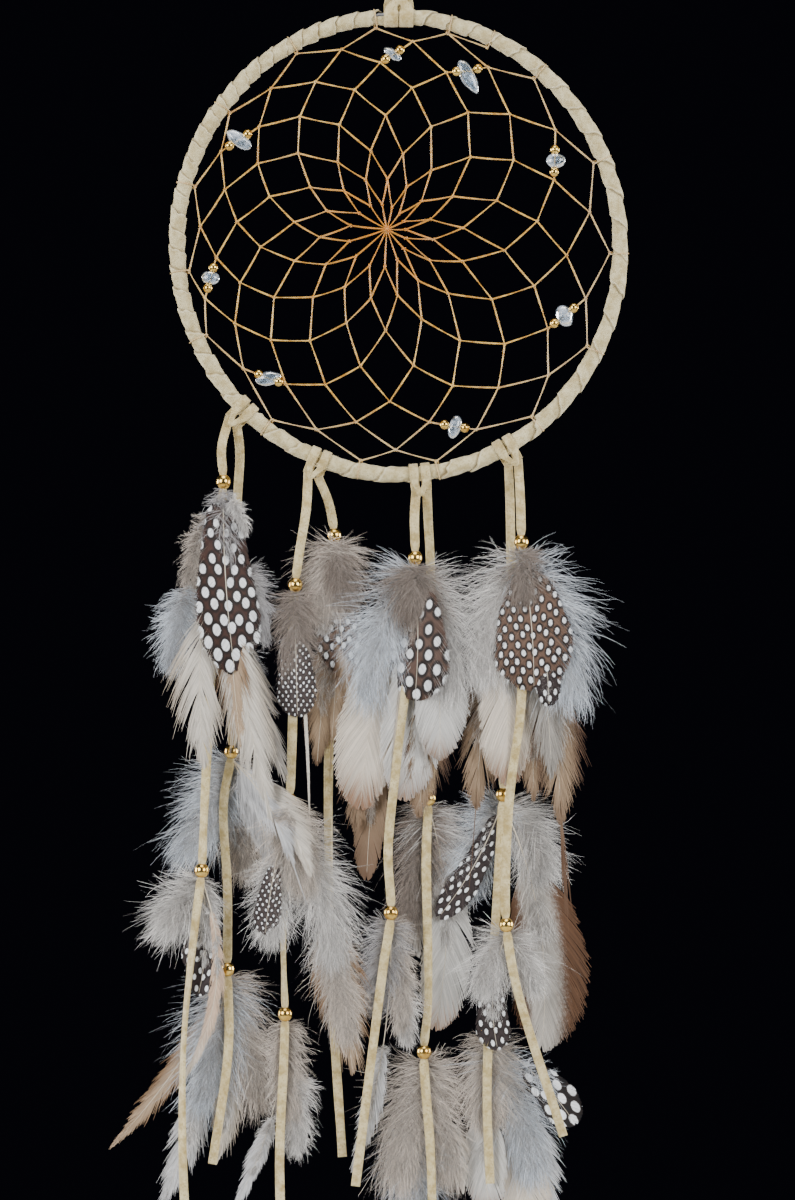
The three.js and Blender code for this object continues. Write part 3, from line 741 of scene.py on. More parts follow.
def hoop_loop(soup, degrees, rng):
    """The hitch of the thread on the hoop: once round the wrap, its ends crossing on the inside."""
    along, back, inward = hoop_axes(degrees)
    k = np.linspace(-1, 1, 52)
    a = k * math.pi * 0.99
    r = (TIE_R + (LOOP_R - TIE_R) * np.abs(k) ** 9)[:, None]
    path = hoop_point(degrees) + (0.45 * k)[:, None] * along
    path = path + r * (-np.cos(a)[:, None] * inward + np.sin(a)[:, None] * back)
    two_ply(soup, path, rng.uniform(0, 6), 0.15)
    knot_loop(soup, hoop_point(degrees, LOOP_R), along, 0.42, 1.5, rng)


def make_web(material, rng):
    soup = Soup()
    count = len(WEB_ANGLES)
    centre_row = np.tile(WEB_CENTRE, (count, 1))
    for number, (row, lower) in enumerate(zip(WEB_ROWS, [*WEB_ROWS[1:], centre_row])):
        lift = ROW_LIFT if number % 2 else -ROW_LIFT
        for i in range(count):
            after = row[(i + 1) % count]
            spans = [(row[i], lower[i])]
            if lower is not centre_row:
                spans.append((lower[i], after))
            for ends in spans:
                path = evenly(np.array(ends))
                bow = np.sin(np.linspace(0, math.pi, len(path)))[:, None]
                sag = rng.uniform(-0.12, 0.12)
                two_ply(soup, path + bow * np.array([sag, lift, -0.15]), rng.uniform(0, 6))
            if lower is not centre_row:
                knot_loop(soup, lower[i], after - row[i], 0.4, 1.6, rng)
    for degrees in WEB_ANGLES:
        hoop_loop(soup, float(degrees), rng)
    for lean in (0.0, 1.1, 2.2):
        knot_loop(soup, WEB_CENTRE, np.array([math.cos(lean), 0.2, math.sin(lean)]), 0.8, 1.5, rng)
    start = hoop_point(START_ANGLE, LOOP_R)
    two_ply(soup, evenly(np.array([WEB_ROWS[0][-1], start + [0, -0.3, 0]])), 0.4)
    hoop_loop(soup, START_ANGLE, rng)
    return dress(soup.mesh_object("web_thread", [material]), "hoop", "sinew", "web")


# -------- charms

# A charm: the knots, as (row, number), that its stretch of thread joins, how far along it sits, the length,
# width and thickness of its chip, how far the chip hangs below the thread and its tilt in degrees.
Charm = namedtuple("Charm", "start end along length width thickness drop tilt")
CHARMS = [
    Charm((1, 14), (2, 14), 0.62, 3.0, 6.4, 2.8, 0, 22),
    Charm((1, 13), (2, 13), 0.5, 4.6, 11.5, 3, 2.4, 18),
    Charm((1, 12), (2, 11), 0.62, 4.8, 6, 3.4, 0.4, 8),
    Charm((1, 10), (2, 9), 0.57, 5.6, 6.8, 4, 0.3, -12),
    Charm((1, 8), (2, 7), 0.46, 4.2, 7.2, 3.4, 0.3, -10),
    Charm((1, 5), (2, 5), 0.6, 4.4, 8.2, 3.6, 0.2, -58),
    Charm((1, 4), (2, 3), 0.5, 4.4, 5.6, 3.4, 0, 10),
    Charm((1, 2), (2, 1), 0.46, 4.6, 8.8, 3.4, 0, 24),
]
CHARM_BEAD_R = 1.62
CHARM_BEAD_LENGTH = 3.1
CHARM_BORE_R = 0.5
CHIP_CUTS = 7
CHIP_GROWTH = 1.12  # makes up for what the cuts take off
BEAD_SIDES = 32


def turned_bead(soup, middle, axis, radius, length, bore):
    """A hollow bead turned about an axis, with rounded rims."""
    axis = unit(np.asarray(axis, float))
    across = unit(np.cross(axis, FRONT + [0.01, 0, 0.02]))
    out = np.cross(across, axis)
    a = np.linspace(-1, 1, 17) * math.acos(min(0.99, bore / radius)) * 0.97
    profile = [(radius * math.cos(v), length / 2 * math.sin(v) / math.sin(abs(a[0]))) for v in a]
    profile += [(bore, length / 2 - 0.1), (bore, -length / 2 + 0.1)]
    turn = np.arange(BEAD_SIDES) * 2 * math.pi / BEAD_SIDES
    rim = np.cos(turn)[:, None] * across + np.sin(turn)[:, None] * out
    points = np.array([middle + r * rim + h * axis for r, h in [*profile, profile[0]]])
    soup.add(points, grid_faces(len(points), BEAD_SIDES, True))


def stone_chip(soup, middle, along, charm, rng):
    """A tumbled chip: a ball cut by a few flat planes, worn round at the edges."""
    side = unit(np.cross(along, BACK))
    rows, columns = 22, 32
    v = np.linspace(0.001, math.pi - 0.001, rows)[:, None]
    u = np.arange(columns)[None] * 2 * math.pi / columns
    ball = np.stack([np.sin(v) * np.cos(u), np.sin(v) * np.sin(u), np.cos(v) + 0 * u], -1)
    reach = np.full(ball.shape[:2], 1.0)
    for _ in range(CHIP_CUTS):
        plane = unit(rng.normal(size=3) * [1, 0.7, 1])
        facing = np.maximum(ball @ plane, 0.05)
        reach = np.minimum(reach, rng.uniform(0.66, 0.9) / facing)
    reach = 0.88 * np.minimum(reach, 1.0) + 0.12
    reach = 1 - np.log1p(np.exp((1 - reach) * 14 - 1.2)) / 14
    sizes = np.array([charm.length, charm.thickness, charm.width]) / 2 * CHIP_GROWTH
    shape = ball * reach[..., None] * sizes
    side = side * np.sign(side[2])
    middle = middle - side * charm.drop
    lean = math.radians(charm.tilt)
    x = shape[..., 0] * math.cos(lean) - shape[..., 2] * math.sin(lean)
    z = shape[..., 0] * math.sin(lean) + shape[..., 2] * math.cos(lean)
    points = middle + x[..., None] * along + shape[..., 1:2] * BACK + z[..., None] * side
    soup.add(points, grid_faces(rows, columns, True))
    soup.add(points[0], [range(columns)[::-1]])
    soup.add(points[-1], [range(columns)])


def make_charm(number, charm, quartz, brass, rng):
    a = WEB_ROWS[charm.start[0]][charm.start[1]]
    b = WEB_ROWS[charm.end[0]][charm.end[1]]
    left, right = (a, b) if a[0] < b[0] else (b, a)
    along = unit(right - left)
    middle = a + (b - a) * charm.along
    body = f"charm_{number}"
    soup = Soup()
    stone_chip(soup, middle, along, charm, rng)
    dress(soup.mesh_object(f"{body}_stone", [quartz]), body, "stone", body)
    for side, word in ((-1, "left"), (1, "right")):
        soup = Soup()
        place = middle + side * (charm.length / 2 + 0.8 * CHARM_BEAD_R) * along
        turned_bead(soup, place, along, CHARM_BEAD_R, CHARM_BEAD_LENGTH, CHARM_BORE_R)
        dress(soup.mesh_object(f"{body}_bead_{word}", [brass]), body, "brass", body)


# -------- large beads

BEAD_R = 2.4
BEAD_LENGTH = 4.4
BEAD_BORE_R = 1.15


def at_height(name, z):
    """The place and direction of a lace where it passes a height."""
    path = ROUTES[name]
    place = np.array([np.interp(-z, -path[:, 2], path[:, k]) for k in range(3)])
    i = int(np.argmin(abs(path[:, 2] - z)))
    return place, tangents(path)[i]


def make_bead(bunch, material):
    place, along = at_height(bunch[:2], BEADS[bunch])
    soup = Soup()
    turned_bead(soup, place, along, BEAD_R, BEAD_LENGTH, BEAD_BORE_R)
    piece = soup.mesh_object(f"brass_bead_{bunch}", [material])
    return dress(piece, tail_body(bunch[:2]), "brass", f"bead_{bunch}")


# -------- feathers

# A feather: its kind, where its tip is across and below the bead, its width, how far its middle bows to the
# right, the share of its length that is bare quill and how far its tip is blown to the front.
Feather = namedtuple("Feather", "kind across drop width bow bare forward", defaults=(0.0, 0.0, 0.0))
BUNCHES = {  # the feathers of each bead, the farthest from the eye first
    "a1_upper": [
        ("beige down", -11, 46, 11, -4, 0.2),
        ("blue down", -17, 66, 17, -4, 0.5),
        ("grey down", -3, 16, 13),
        ("grey down", 14, 56, 13, 2, 0.45),
        ("grey hackle", 21, 97, 12, -4, 0.5),
        ("tan hackle", 6, 86, 12, -1, 0.5),
        ("cream hackle", 15, 104, 17, -3, 0.45),
        ("cream hackle", -6, 92, 18, -4, 0.45),
        ("white down", 7, 17, 6, 2, 0.2),
        ("large guinea", 4, 60, 21, -1, 0.05),
    ],
    "a1_lower": [
        ("black guinea", -5, 29, 6, 1, 0.4),
        ("white down", -13, 19, 24),
        ("black guinea", -1, 39, 8, 2, 0.4),
        ("white down", 4, 24, 12),
        ("peach hackle", -8, 70, 4.5, 9, 0.15),
    ],
    "a2_upper": [
        ("beige down", 5, 41, 23),
        ("cream hackle", 27, 38, 14, 4, 0.15, 20),
        ("white hackle", 21, 34, 12, 3, 0.1, 19),
        ("white hackle", 13, 38, 14, 3, 0.1, 9),
        ("blue down", -17, 34, 27, 1),
    ],
    "a2_lower": [
        ("tan hackle", -39, 57, 8, 3, 0.15),
        ("white hackle", -22, 77, 12, 2, 0.45),
        ("cream hackle", -4, 63, 10, 3, 0.5),
        ("beige down", 12, 46, 28),
        ("blue down", -9, 46, 29),
    ],
    "b1_upper": [
        ("cream quill", 5, 78, 1.2, 1, 0.1),
        ("silver guinea", 1, 41, 13, 0, 0.35),
        ("grey brown down", 1, 27, 20),
    ],
    "b1_middle": [
        ("tan hackle", 21, 88, 17, 3, 0.4),
        ("beige down", 20, 87, 20, 3, 0.5),
        ("white down", 15, 56, 27, 3, 0.15),
        ("silver guinea", -1, 34, 9, -1, 0.3),
        ("white down", -6, 48, 20, -1, 0.35),
        ("silver guinea", -8, 42, 9, -1, 0.45),
        ("beige down", 4, 26, 25),
    ],
    "b1_lower": [
        ("white hackle", -17, 62, 7, 4, 0.5),
        ("white down", 3, 47, 16, 2, 0.35),
        ("beige down", 1, 34, 17),
    ],
    "b2_upper": [
        ("brown hackle", -6, 74, 12, 0, 0.45),
        ("tan hackle", -1, 66, 11, 1, 0.45),
        ("brown hackle", 4, 56, 9, 1, 0.45),
        ("fine guinea", 3, 43, 16, 0, 0.3),
        ("white down", -4, 34, 8, 0, 0.5),
        ("beige down", -4, 24, 27),
        ("grey brown down", 4, 20, 20),
    ],
    "c1_upper": [
        ("brown rooster", -16, 104, 11, -3, 0.5),
        ("brown hackle", 1, 84, 15, 3, 0.5),
        ("brown hackle", -20, 88, 15, -3, 0.55),
        ("white rooster", -4, 77, 21, 2, 0.3),
        ("cream rooster", -18, 80, 20, -3, 0.3),
        ("white rooster", 8, 64, 17, 3, 0.35),
        ("blue down", -16, 48, 30, -4, 0.02),
        ("white down", 11, 46, 28, 5, 0.02),
        ("brown guinea", 0, 44, 22, 1, 0.12),
        ("grey brown down", 0, 15, 28),
    ],
    "c1_lower": [
        ("white hackle", -13, 84, 7, 4, 0.5),
        ("white down", 5, 46, 12, 2, 0.4),
        ("beige down", 3, 40, 14, 2),
        ("grey down", -6, 31, 18),
    ],
    "c2_upper": [
        ("white rooster", 2, 74, 17, 5, 0.3),
        ("white down", 8, 32, 26),
        ("grey hackle", -3, 50, 12, -2, 0.4),
        ("grey brown down", -7, 42, 24),
    ],
    "c2_lower": [
        ("blue down", -3, 58, 24, -1, 0.4),
        ("cream hackle", 13, 45, 6, 3, 0.5),
        ("beige down", 8, 43, 24, 2),
        ("beige down", -8, 44, 30, -2),
    ],
    "d1_upper": [
        ("brown hackle", -15, 86, 17, -3, 0.45),
        ("brown hackle", 4, 84, 12, 1, 0.5),
        ("brown hackle", 13, 91, 17, 3, 0.45),
        ("grey hackle", 10, 76, 17, 2, 0.35),
        ("cream rooster", -4, 78, 18, -2, 0.3),
        ("white down", -12, 48, 28, -4, 0.02),
        ("blue down", 16, 54, 32, 4, 0.02),
        ("black guinea", 9, 52, 8, 2, 0.6),
        ("fine guinea", 4, 46, 26, 1, 0.12),
        ("grey brown down", 1, 17, 16),
    ],
    "d1_lower": [
        ("black guinea", -3, 39, 11, -3, 0.4),
        ("white down", 9, 20, 20, 1),
        ("white down", -8, 20, 21, -1),
    ],
    "d2_upper": [
        ("edged rooster", 13, 82, 25, 6, 0.25),
        ("white down", 15, 26, 24, 2),
        ("blue down", -12, 31, 24, -2),
        ("black guinea", -21, 38, 10, 2, 0.1),
    ],
    "d2_lower": [
        ("white hackle", 23, 60, 12, 2, 0.4),
        ("cream rooster", 13, 66, 17, 3, 0.4),
        ("white rooster", 0, 58, 16, -1, 0.4),
        ("spotted guinea", 29, 29, 13, 2, 0.35),
        ("blue down", 15, 50, 26, 2, 0.1),
        ("beige down", -1, 30, 24),
    ],
}

# Of a bunch that is tied in front of its lace: how many of its feathers hang behind the lace all the same
BEHIND = {"a1_upper": 0, "b1_upper": 0, "b1_middle": 0, "b2_upper": 0, "c1_upper": 5, "d1_upper": 5}
LAYER_START = 1.0  # the feather next to the lace lies this far from its middle
LAYER_STEP = 0.62
SHALLOW = 10.5  # feathers that stand out farther than this are eased in again


def bezier(points, t):
    a, b, c = (np.asarray(p, float) for p in points)
    t = np.asarray(t)[..., None]
    return a * (1 - t) ** 2 + 2 * b * t * (1 - t) + c * t**2


def spine_of(feather, origin, side, layer, rng):
    """The three control points of a feather's quill."""
    depth = LAYER_START + LAYER_STEP * layer
    root = origin + side * BACK * 0.6
    tip = origin + np.array([feather.across, side * (depth + rng.uniform(0, 0.8)), -feather.drop])
    reach = math.hypot(feather.across, feather.drop)
    right = np.array([feather.drop / reach, 0, feather.across / reach])
    middle = (root + tip) / 2 + right * 2 * feather.bow + side * BACK * (depth + rng.uniform(0.3, 1.6))
    tip = tip + feather.forward * FRONT
    middle = middle + 0.8 * feather.forward * FRONT
    return root, middle, tip


def kept_shallow(line):
    """Eases in whatever stands out far to the front or the back, so that a bunch hangs nearly flat."""
    y = line[..., 1]
    over = np.maximum(np.abs(y) - SHALLOW, 0)
    line[..., 1] = np.sign(y) * (np.minimum(np.abs(y), SHALLOW) + 3 * np.tanh(over / 3))
    return line


def strips(soup, line, wide, barb, part):
    """Tapered strips, a row for each barb: line holds the middle lines and wide the half widths as vectors.
    barb is where a point lies across and along the feather in millimetres, and the barb's own random number.
    part is its share of the way to the edge and along the feather, and 1 for down."""
    count, steps = line.shape[:2]
    points = np.stack([line - wide, line + wide], 2)
    faces = grid_faces(steps, 2, False)
    faces = (faces[None] + (np.arange(count) * steps * 2)[:, None, None]).reshape(-1, 4)
    barb, part = (np.repeat(mark[:, :, None], 2, 2).reshape(-1, 3) for mark in (barb, part))
    soup.add(points, faces, 0, barb, part)


SHAPES = {  # of a vane: where it is widest, how it swells up to there, how it narrows and how blunt it ends
    "hackle": (0.4, 0.6, 1.6, 0.9),
    "quill": (0.4, 0.6, 1.6, 0.9),
    "rooster": (0.55, 0.5, 2.2, 0.6),
    "guinea": (0.66, 0.6, 2.2, 0.55),
}
LEANS = {  # of the barbs: how loose they are, and their angle to the quill at its root and tip, in degrees
    "hackle": (1.0, 27, 9),
    "quill": (0.5, 34, 20),
    "rooster": (0.3, 31, 15),
    "guinea": (0.2, 46, 28),
}
TIP_SHARE = 1.04  # where a vane ends, as a share of its quill's length


def outline(t, shape):
    """The half width of a vane along its length, as a share of the greatest."""
    widest, swell, fall, blunt = SHAPES[shape]
    t = np.clip(t / TIP_SHARE, 0, 1)
    rise = 0.3 + 0.7 * np.clip(t / widest, 0, 1) ** swell
    narrow = 1 - np.clip((t - widest) / (1 - widest), 0, 1) ** fall
    return rise * np.maximum(narrow, 0) ** blunt


def barb_lengths(t, lean, half, length, shape):
    """How long a barb must be for its end to lie on the vane's outline."""
    short, long = np.zeros_like(t), np.full_like(t, 4 * half)
    for _ in range(18):
        middle = (short + long) / 2
        end = t + middle * np.cos(lean) / length
        inside = middle * np.sin(lean) < half * outline(end, shape)
        short, long = np.where(inside, middle, short), np.where(inside, long, middle)
    return short


def quill_axes(spine, t, turn=0.0):
    """Points of the quill, its direction there and the direction across the feather."""
    base = bezier(spine, t)
    along = unit(bezier(spine, np.minimum(t + 0.02, 1.02)) - bezier(spine, t - 0.02))
    flat = unit(np.cross(along, BACK))
    flat = flat * np.sign(flat[:, :1] + 1e-9)
    return base, along, turned_about(flat, along, np.full(len(t), turn))


BARB_STEPS = 6
BARB_SPACING = 0.18
BARB_HALF_WIDTH = 0.17


def add_vane(soup, spine, feather, side, rng, turn=0.0):
    """The flat part of a feather: barbs on both sides of the quill, in small groups that split apart."""
    length = math.hypot(feather.across, feather.drop)
    bare = feather.bare
    shape = feather.kind.split()[-1]
    loose, root_lean, tip_lean = LEANS[shape]
    count = int(length * (1 - bare) / BARB_SPACING)
    half = feather.width / 2
    k = np.linspace(0, 1, BARB_STEPS)
    for hand in (-1, 1):
        share = (np.arange(count) + rng.uniform(0, 1, count)) / count
        t = bare + (0.985 - bare) * share
        group = np.cumsum(rng.uniform(0, 1, count) < 0.02 + 0.03 * loose)
        splay = rng.normal(0, 0.07 * loose, group[-1] + 1)[group] + rng.normal(0, 0.035 * loose, count)
        cut = (1 - np.abs(rng.normal(0, 0.12 * loose, group[-1] + 1)))[group]
        short = cut * (1 + rng.normal(0, 0.14 * loose, count))
        lean = np.radians(root_lean + (tip_lean - root_lean) * share) + splay
        reached = barb_lengths(share, lean, half, length * (1 - bare), shape)
        barb_length = np.maximum(reached * short, 0.12 * half)
        base, along, flat = quill_axes(spine, t, turn)
        normal = np.cross(flat, along)
        curl = lean[:, None] * (1.25 - 0.5 * k[None]) + rng.normal(0, 0.05 * loose, (count, 1)) * k[None]
        step = barb_length[:, None] / (BARB_STEPS - 1)
        heading = np.cos(curl)[..., None] * along[:, None] + hand * np.sin(curl)[..., None] * flat[:, None]
        start = np.zeros((count, 1, 3))
        line = base[:, None] + np.concatenate([start, np.cumsum(heading[:, :-1] * step[..., None], 1)], 1)
        cup = 0.06 * feather.width * k[None] ** 2 + rng.normal(0, 0.02 + 0.08 * loose, (count, 1)) * k[None]
        line = kept_shallow(line + cup[..., None] * side * FRONT)
        tilt = rng.normal(0, 0.1 + 0.2 * loose, count)
        wide_dir = unit(np.cross(heading, normal[:, None]) + normal[:, None] * tilt[:, None, None])
        end = 0.45 + 0.4 * loose
        taper = BARB_HALF_WIDTH * (1 - end * k ** (3 - loose))[None]
        taper = taper * (0.85 + 0.3 * rng.uniform(size=(count, 1)))
        away = np.abs(np.sin(curl)) * step
        across_mm = hand * np.concatenate([start[..., 0], np.cumsum(away[:, :-1], 1)], 1)
        along_mm = (t * length)[:, None] + np.cos(lean)[:, None] * barb_length[:, None] * k[None]
        random = np.repeat(rng.uniform(size=(count, 1)), BARB_STEPS, 1)
        barb = np.stack([across_mm, along_mm, random], -1)
        part = np.stack([np.abs(across_mm) / half, along_mm / length, 0 * random], -1)
        strips(soup, line, wide_dir * taper[..., None], barb, part)


TUFT = 7  # barbs of down that cling together
DOWN_HALF_WIDTH = 0.085
BARBULES = 9  # on each downy barb
BARBULE_HALF_WIDTH = 0.035


def add_down(soup, spine, feather, side, rng, count, most_depth, span=(0.02, 0.85), fullness=1.0):
    """Loose downy barbs that stand out round the quill in small pointed tufts, with fine hairs on them."""
    half = feather.width / 2 * fullness
    tufts = max(12, count // TUFT)
    tuft = rng.integers(0, tufts, count)

    def shared(values, spread):
        return values[tuft] + rng.normal(0, spread, count)

    share = shared(rng.uniform(0, 1, tufts), 0.035).clip(0, 1)
    t = span[0] + (span[1] - span[0]) * share
    hand = np.where(rng.uniform(size=tufts) < 0.5, -1.0, 1.0)[tuft]
    lift = shared(np.radians(rng.uniform(-20, 75, tufts)), 0.15)
    angle = np.radians(103 - 82 * share**0.5) + shared(rng.normal(0, 0.2, tufts), 0.07)
    curl = shared(rng.normal(-0.45, 0.4, tufts), 0.12)
    shape = 0.7 + 0.42 * np.sin(math.pi * share**0.8)
    reach = half * shape * shared(rng.uniform(0.66, 1.2, tufts) ** 1.3, 0.1).clip(0.3, 1.4)
    reach = reach * np.where(rng.uniform(size=count) < 0.04, 1.35, 1.0)
    base, along, flat = quill_axes(spine, t)
    base = base + flat * (rng.normal(0, 0.16, count) * half)[:, None]
    base = base + side * BACK * rng.uniform(-0.3, 2.4, (count, 1))
    outward = np.cos(lift)[:, None] * hand[:, None] * flat + np.sin(lift)[:, None] * side * BACK * 0.8
    k = np.linspace(0, 1, BARB_STEPS + 1)
    wave = k[None] * rng.uniform(2, 5, (count, 1)) + rng.uniform(0, 6, (count, 1))
    bend = angle[:, None] + curl[:, None] * k[None] + rng.uniform(0, 0.22, (count, 1)) * np.sin(wave)
    heading = np.cos(bend)[..., None] * along[:, None] + np.sin(bend)[..., None] * outward[:, None]
    moves = heading[:, :-1] * (reach / BARB_STEPS)[:, None, None]
    line = base[:, None] + np.concatenate([np.zeros((count, 1, 3)), np.cumsum(moves, 1)], 1)
    middle_y = spine[0][1]
    deep = (line[..., 1] - middle_y) * side
    line[..., 1] = middle_y + side * most_depth * np.tanh(deep / most_depth)
    line = kept_shallow(line)
    heading = unit(np.gradient(line, axis=1))
    facing = unit(rng.normal(size=(count, 1, 3)))
    wide = unit(np.cross(heading, facing)) * (DOWN_HALF_WIDTH * (1 - 0.8 * k))[None, :, None]
    random = rng.uniform(size=count)
    sideways = line[..., 0] - base[:, None, 0]
    downward = line[..., 2] - base[:, None, 2]
    barb = np.stack([sideways, downward, random[:, None] + 0 * k], -1)
    every = np.ones((count, len(k)))
    part = np.stack([k * every, share[:, None] * every, every], -1)
    strips(soup, line, wide, barb, part)
    add_barbules(soup, line, heading, random, share, rng)


def add_barbules(soup, line, heading, random, t, rng):
    """Short hairs on both sides of each downy barb."""
    count = len(line)
    k = rng.uniform(0.02, 0.9, (count, BARBULES))
    i = np.minimum((k * BARB_STEPS).astype(int), BARB_STEPS - 1)
    f = (k * BARB_STEPS - i)[..., None]
    row = np.arange(count)[:, None]
    base = line[row, i] * (1 - f) + line[row, i + 1] * f
    ahead = heading[row, i]
    around = unit(np.cross(ahead, unit(rng.normal(size=(count, BARBULES, 3)))))
    reach = rng.uniform(1.0, 2.6, (count, BARBULES, 1)) * (1.2 - 0.8 * k[..., None])
    tip = base + (0.88 * ahead + 0.48 * around) * reach
    wide = unit(np.cross(ahead, around)) * BARBULE_HALF_WIDTH
    points = np.stack([base - wide, base + wide, tip], 2)
    faces = np.arange(count * BARBULES * 3).reshape(-1, 3)
    barb = np.zeros((count, BARBULES, 3, 3))
    barb[..., 2] = random[:, None, None]
    part = np.ones((count, BARBULES, 3, 3))
    part[..., 0] = k[..., None]
    part[..., 1] = t[:, None, None]
    soup.add(points, faces, 0, barb.reshape(-1, 3), part.reshape(-1, 3))


QUILL_R = 0.26  # at the root
QUILL_END = 0.98  # as a share of the feather's length


def add_quill(soup, spine):
    t = np.linspace(0, QUILL_END, 24)
    path = bezier(spine, t)
    along = tangents(path)
    across = unit(np.cross(along, FRONT))
    radius = QUILL_R * (1 - 0.8 * t)
    section = ring_section(1.0, 6)[None] * radius[:, None, None]
    sweep(soup, path, across, np.cross(across, along), section, slot=1)


def quill_material():
    t = Tree("quill")
    grain = t.noise(t.place(), 700, 3)
    t.set(Base_Color=t.mix(grain, rgb(206, 190, 164), rgb(238, 230, 214)), Roughness=0.4)
    t.set(Specular_IOR_Level=0.5)
    t.bump(grain, 0.00004, 0.5)
    return t.material


BONE = rgb(224, 216, 204)
BARK = rgb(104, 78, 60)
DOT = rgb(250, 252, 255)
DOT_RING = rgb(36, 27, 25)
# painted shade deep in the down, where little light comes
DOWN_PAINTED_SHADE = (0.36, 0.32, 0.29, 1)  # of the down close to the quill
DOWNS = {
    "white down": rgb(252, 249, 246),
    "blue down": rgb(238, 245, 254),
    "grey down": rgb(208, 206, 208),
    "beige down": rgb(236, 224, 212),
    "grey brown down": rgb(172, 158, 148),
}
VANES = {  # kind: the down at its foot, the colour of the vane and the marks on it
    "cream hackle": ("white down", BONE, {"edge": (rgb(190, 176, 158), 0.3, 1.1)}),
    "white hackle": ("white down", rgb(216, 216, 218), {}),
    "cream quill": ("white down", BONE, {}),
    "peach hackle": ("white down", rgb(224, 194, 168), {"tip": (BONE, 0.6, 1.0)}),
    "grey hackle": ("grey down", rgb(170, 164, 156), {"edge": (rgb(120, 112, 104), 0.5, 1)}),
    "tan hackle": ("beige down", rgb(188, 162, 134), {"edge": (rgb(150, 120, 92), 0.25, 0.9)}),
    "brown hackle": ("beige down", rgb(176, 150, 122),
                     {"edge": (rgb(92, 68, 52), 0.25, 0.95), "tip": (BARK, 0.85, 1.1)}),
    "cream rooster": ("white down", rgb(228, 216, 200), {"tip": (rgb(140, 106, 82), 0.84, 1.02)}),
    "white rooster": ("white down", rgb(218, 216, 212), {"tip": (rgb(150, 120, 98), 0.86, 1.06)}),
    "brown rooster": ("beige down", rgb(158, 132, 106), {"tip": (BARK, 0.7, 1.1)}),
    "edged rooster": ("white down", rgb(190, 184, 176), {"edge": (rgb(96, 68, 48), 0.22, 0.62)}),
    "large guinea": ("grey down", rgb(72, 48, 40), {"dots": (5.4, 7.8, 0.3, 0.16)}),
    "brown guinea": ("beige down", rgb(98, 76, 66), {"dots": (6.6, 8.6, 0.25, 0.1)}),
    "fine guinea": ("grey brown down", rgb(112, 88, 74), {"dots": (3.9, 5.8, 0.24, 0.06)}),
    "silver guinea": ("grey down", rgb(76, 66, 64), {"dots": (2.0, 3.0, 0.23, 0.0)}),
    "black guinea": ("white down", rgb(58, 48, 48), {"dots": (3.2, 5.6, 0.23, 0.05)}),
    "spotted guinea": ("blue down", rgb(24, 22, 26), {"dots": (5.2, 8.0, 0.3, 0.1)}),
}


def feather_material(name, down, vane, edge=None, tip=None, dots=None):
    """Barbs of a feather. edge and tip are a colour and the shares of the way to the edge and to the tip
    between which it fades in. dots is the cell width and length of the pattern in millimetres, the radius
    of a dot in cells and how much it grows along the feather."""
    t = Tree(name)
    across_mm, along_mm, random = t.stored("barb")
    edge_share, along_share, downy = t.stored("part")
    grain = t.noise(t.joined(across_mm, along_mm, t.times(random, 9.0)), 0.9, 3)
    shade = t.mix(grain, tuple(0.82 * v for v in vane[:3]) + (1,), vane)
    if edge:
        colour, start, end = edge
        wavy = t.plus(edge_share, t.times(t.minus(grain, 0.5), 0.5))
        shade = t.mix(t.step(wavy, start, end), shade, colour)
    if tip:
        colour, start, end = tip
        wavy = t.plus(along_share, t.times(t.minus(random, 0.5), 0.12))
        shade = t.mix(t.step(wavy, start, end), shade, colour)
    if dots:
        cell_width, cell_length, radius, growth = dots
        x = t.math("DIVIDE", across_mm, cell_width)
        y = t.math("DIVIDE", along_mm, cell_length)
        cell = t.joined(t.plus(x, y), t.minus(x, y))
        near = t.node("ShaderNodeTexVoronoi", {"Vector": cell, "Scale": 1.0, "Randomness": 0.3})
        near.voronoi_dimensions = "2D"
        reach = t.plus(radius, t.times(t.minus(along_share, 0.5), growth))
        past = t.minus(near.outputs["Distance"], reach)
        shade = t.mix(t.step(past, 0.3, 0.1), shade, DOT_RING)
        shade = t.mix(t.step(past, 0.035, -0.035), shade, DOT)
    fluff = t.mix(t.step(random, 0.0, 1.0), tuple(0.8 * v for v in down[:3]) + (1,), down)
    # painted shade: the down darkens toward the root of each barb, deep in the fluff
    fluff = t.mix(t.times(t.step(edge_share, 0.5, 0.0), 0.6), fluff, DOWN_PAINTED_SHADE)
    shade = t.mix(downy, shade, fluff)
    darkest = t.minus(0.78, t.times(downy, 0.26))
    uneven = t.node("ShaderNodeMapRange", {"Value": random, "To Min": darkest, "To Max": 1.16}).outputs[0]
    shade = t.mix(1.0, shade, t.joined(uneven, uneven, uneven), blend="MULTIPLY")
    t.set(Base_Color=shade, Roughness=0.62, Sheen_Weight=0.25, Sheen_Roughness=0.4, Specular_IOR_Level=0.35)
    return t.material


def feather_materials():
    looks = {kind: (kind, shade, {}) for kind, shade in DOWNS.items()}
    looks.update(VANES)
    return {kind: feather_material(kind.replace(" ", "_"), DOWNS[down], vane, **marks)
            for kind, (down, vane, marks) in looks.items()}


DOWN_DENSITY = 2.3  # barbs in a square millimetre
DOWN_COUNTS = (450, 1500)  # the fewest and the most in one feather
FOOT_DOWN_DENSITY = 3  # barbs in a millimetre of a feather, at the foot of its vane


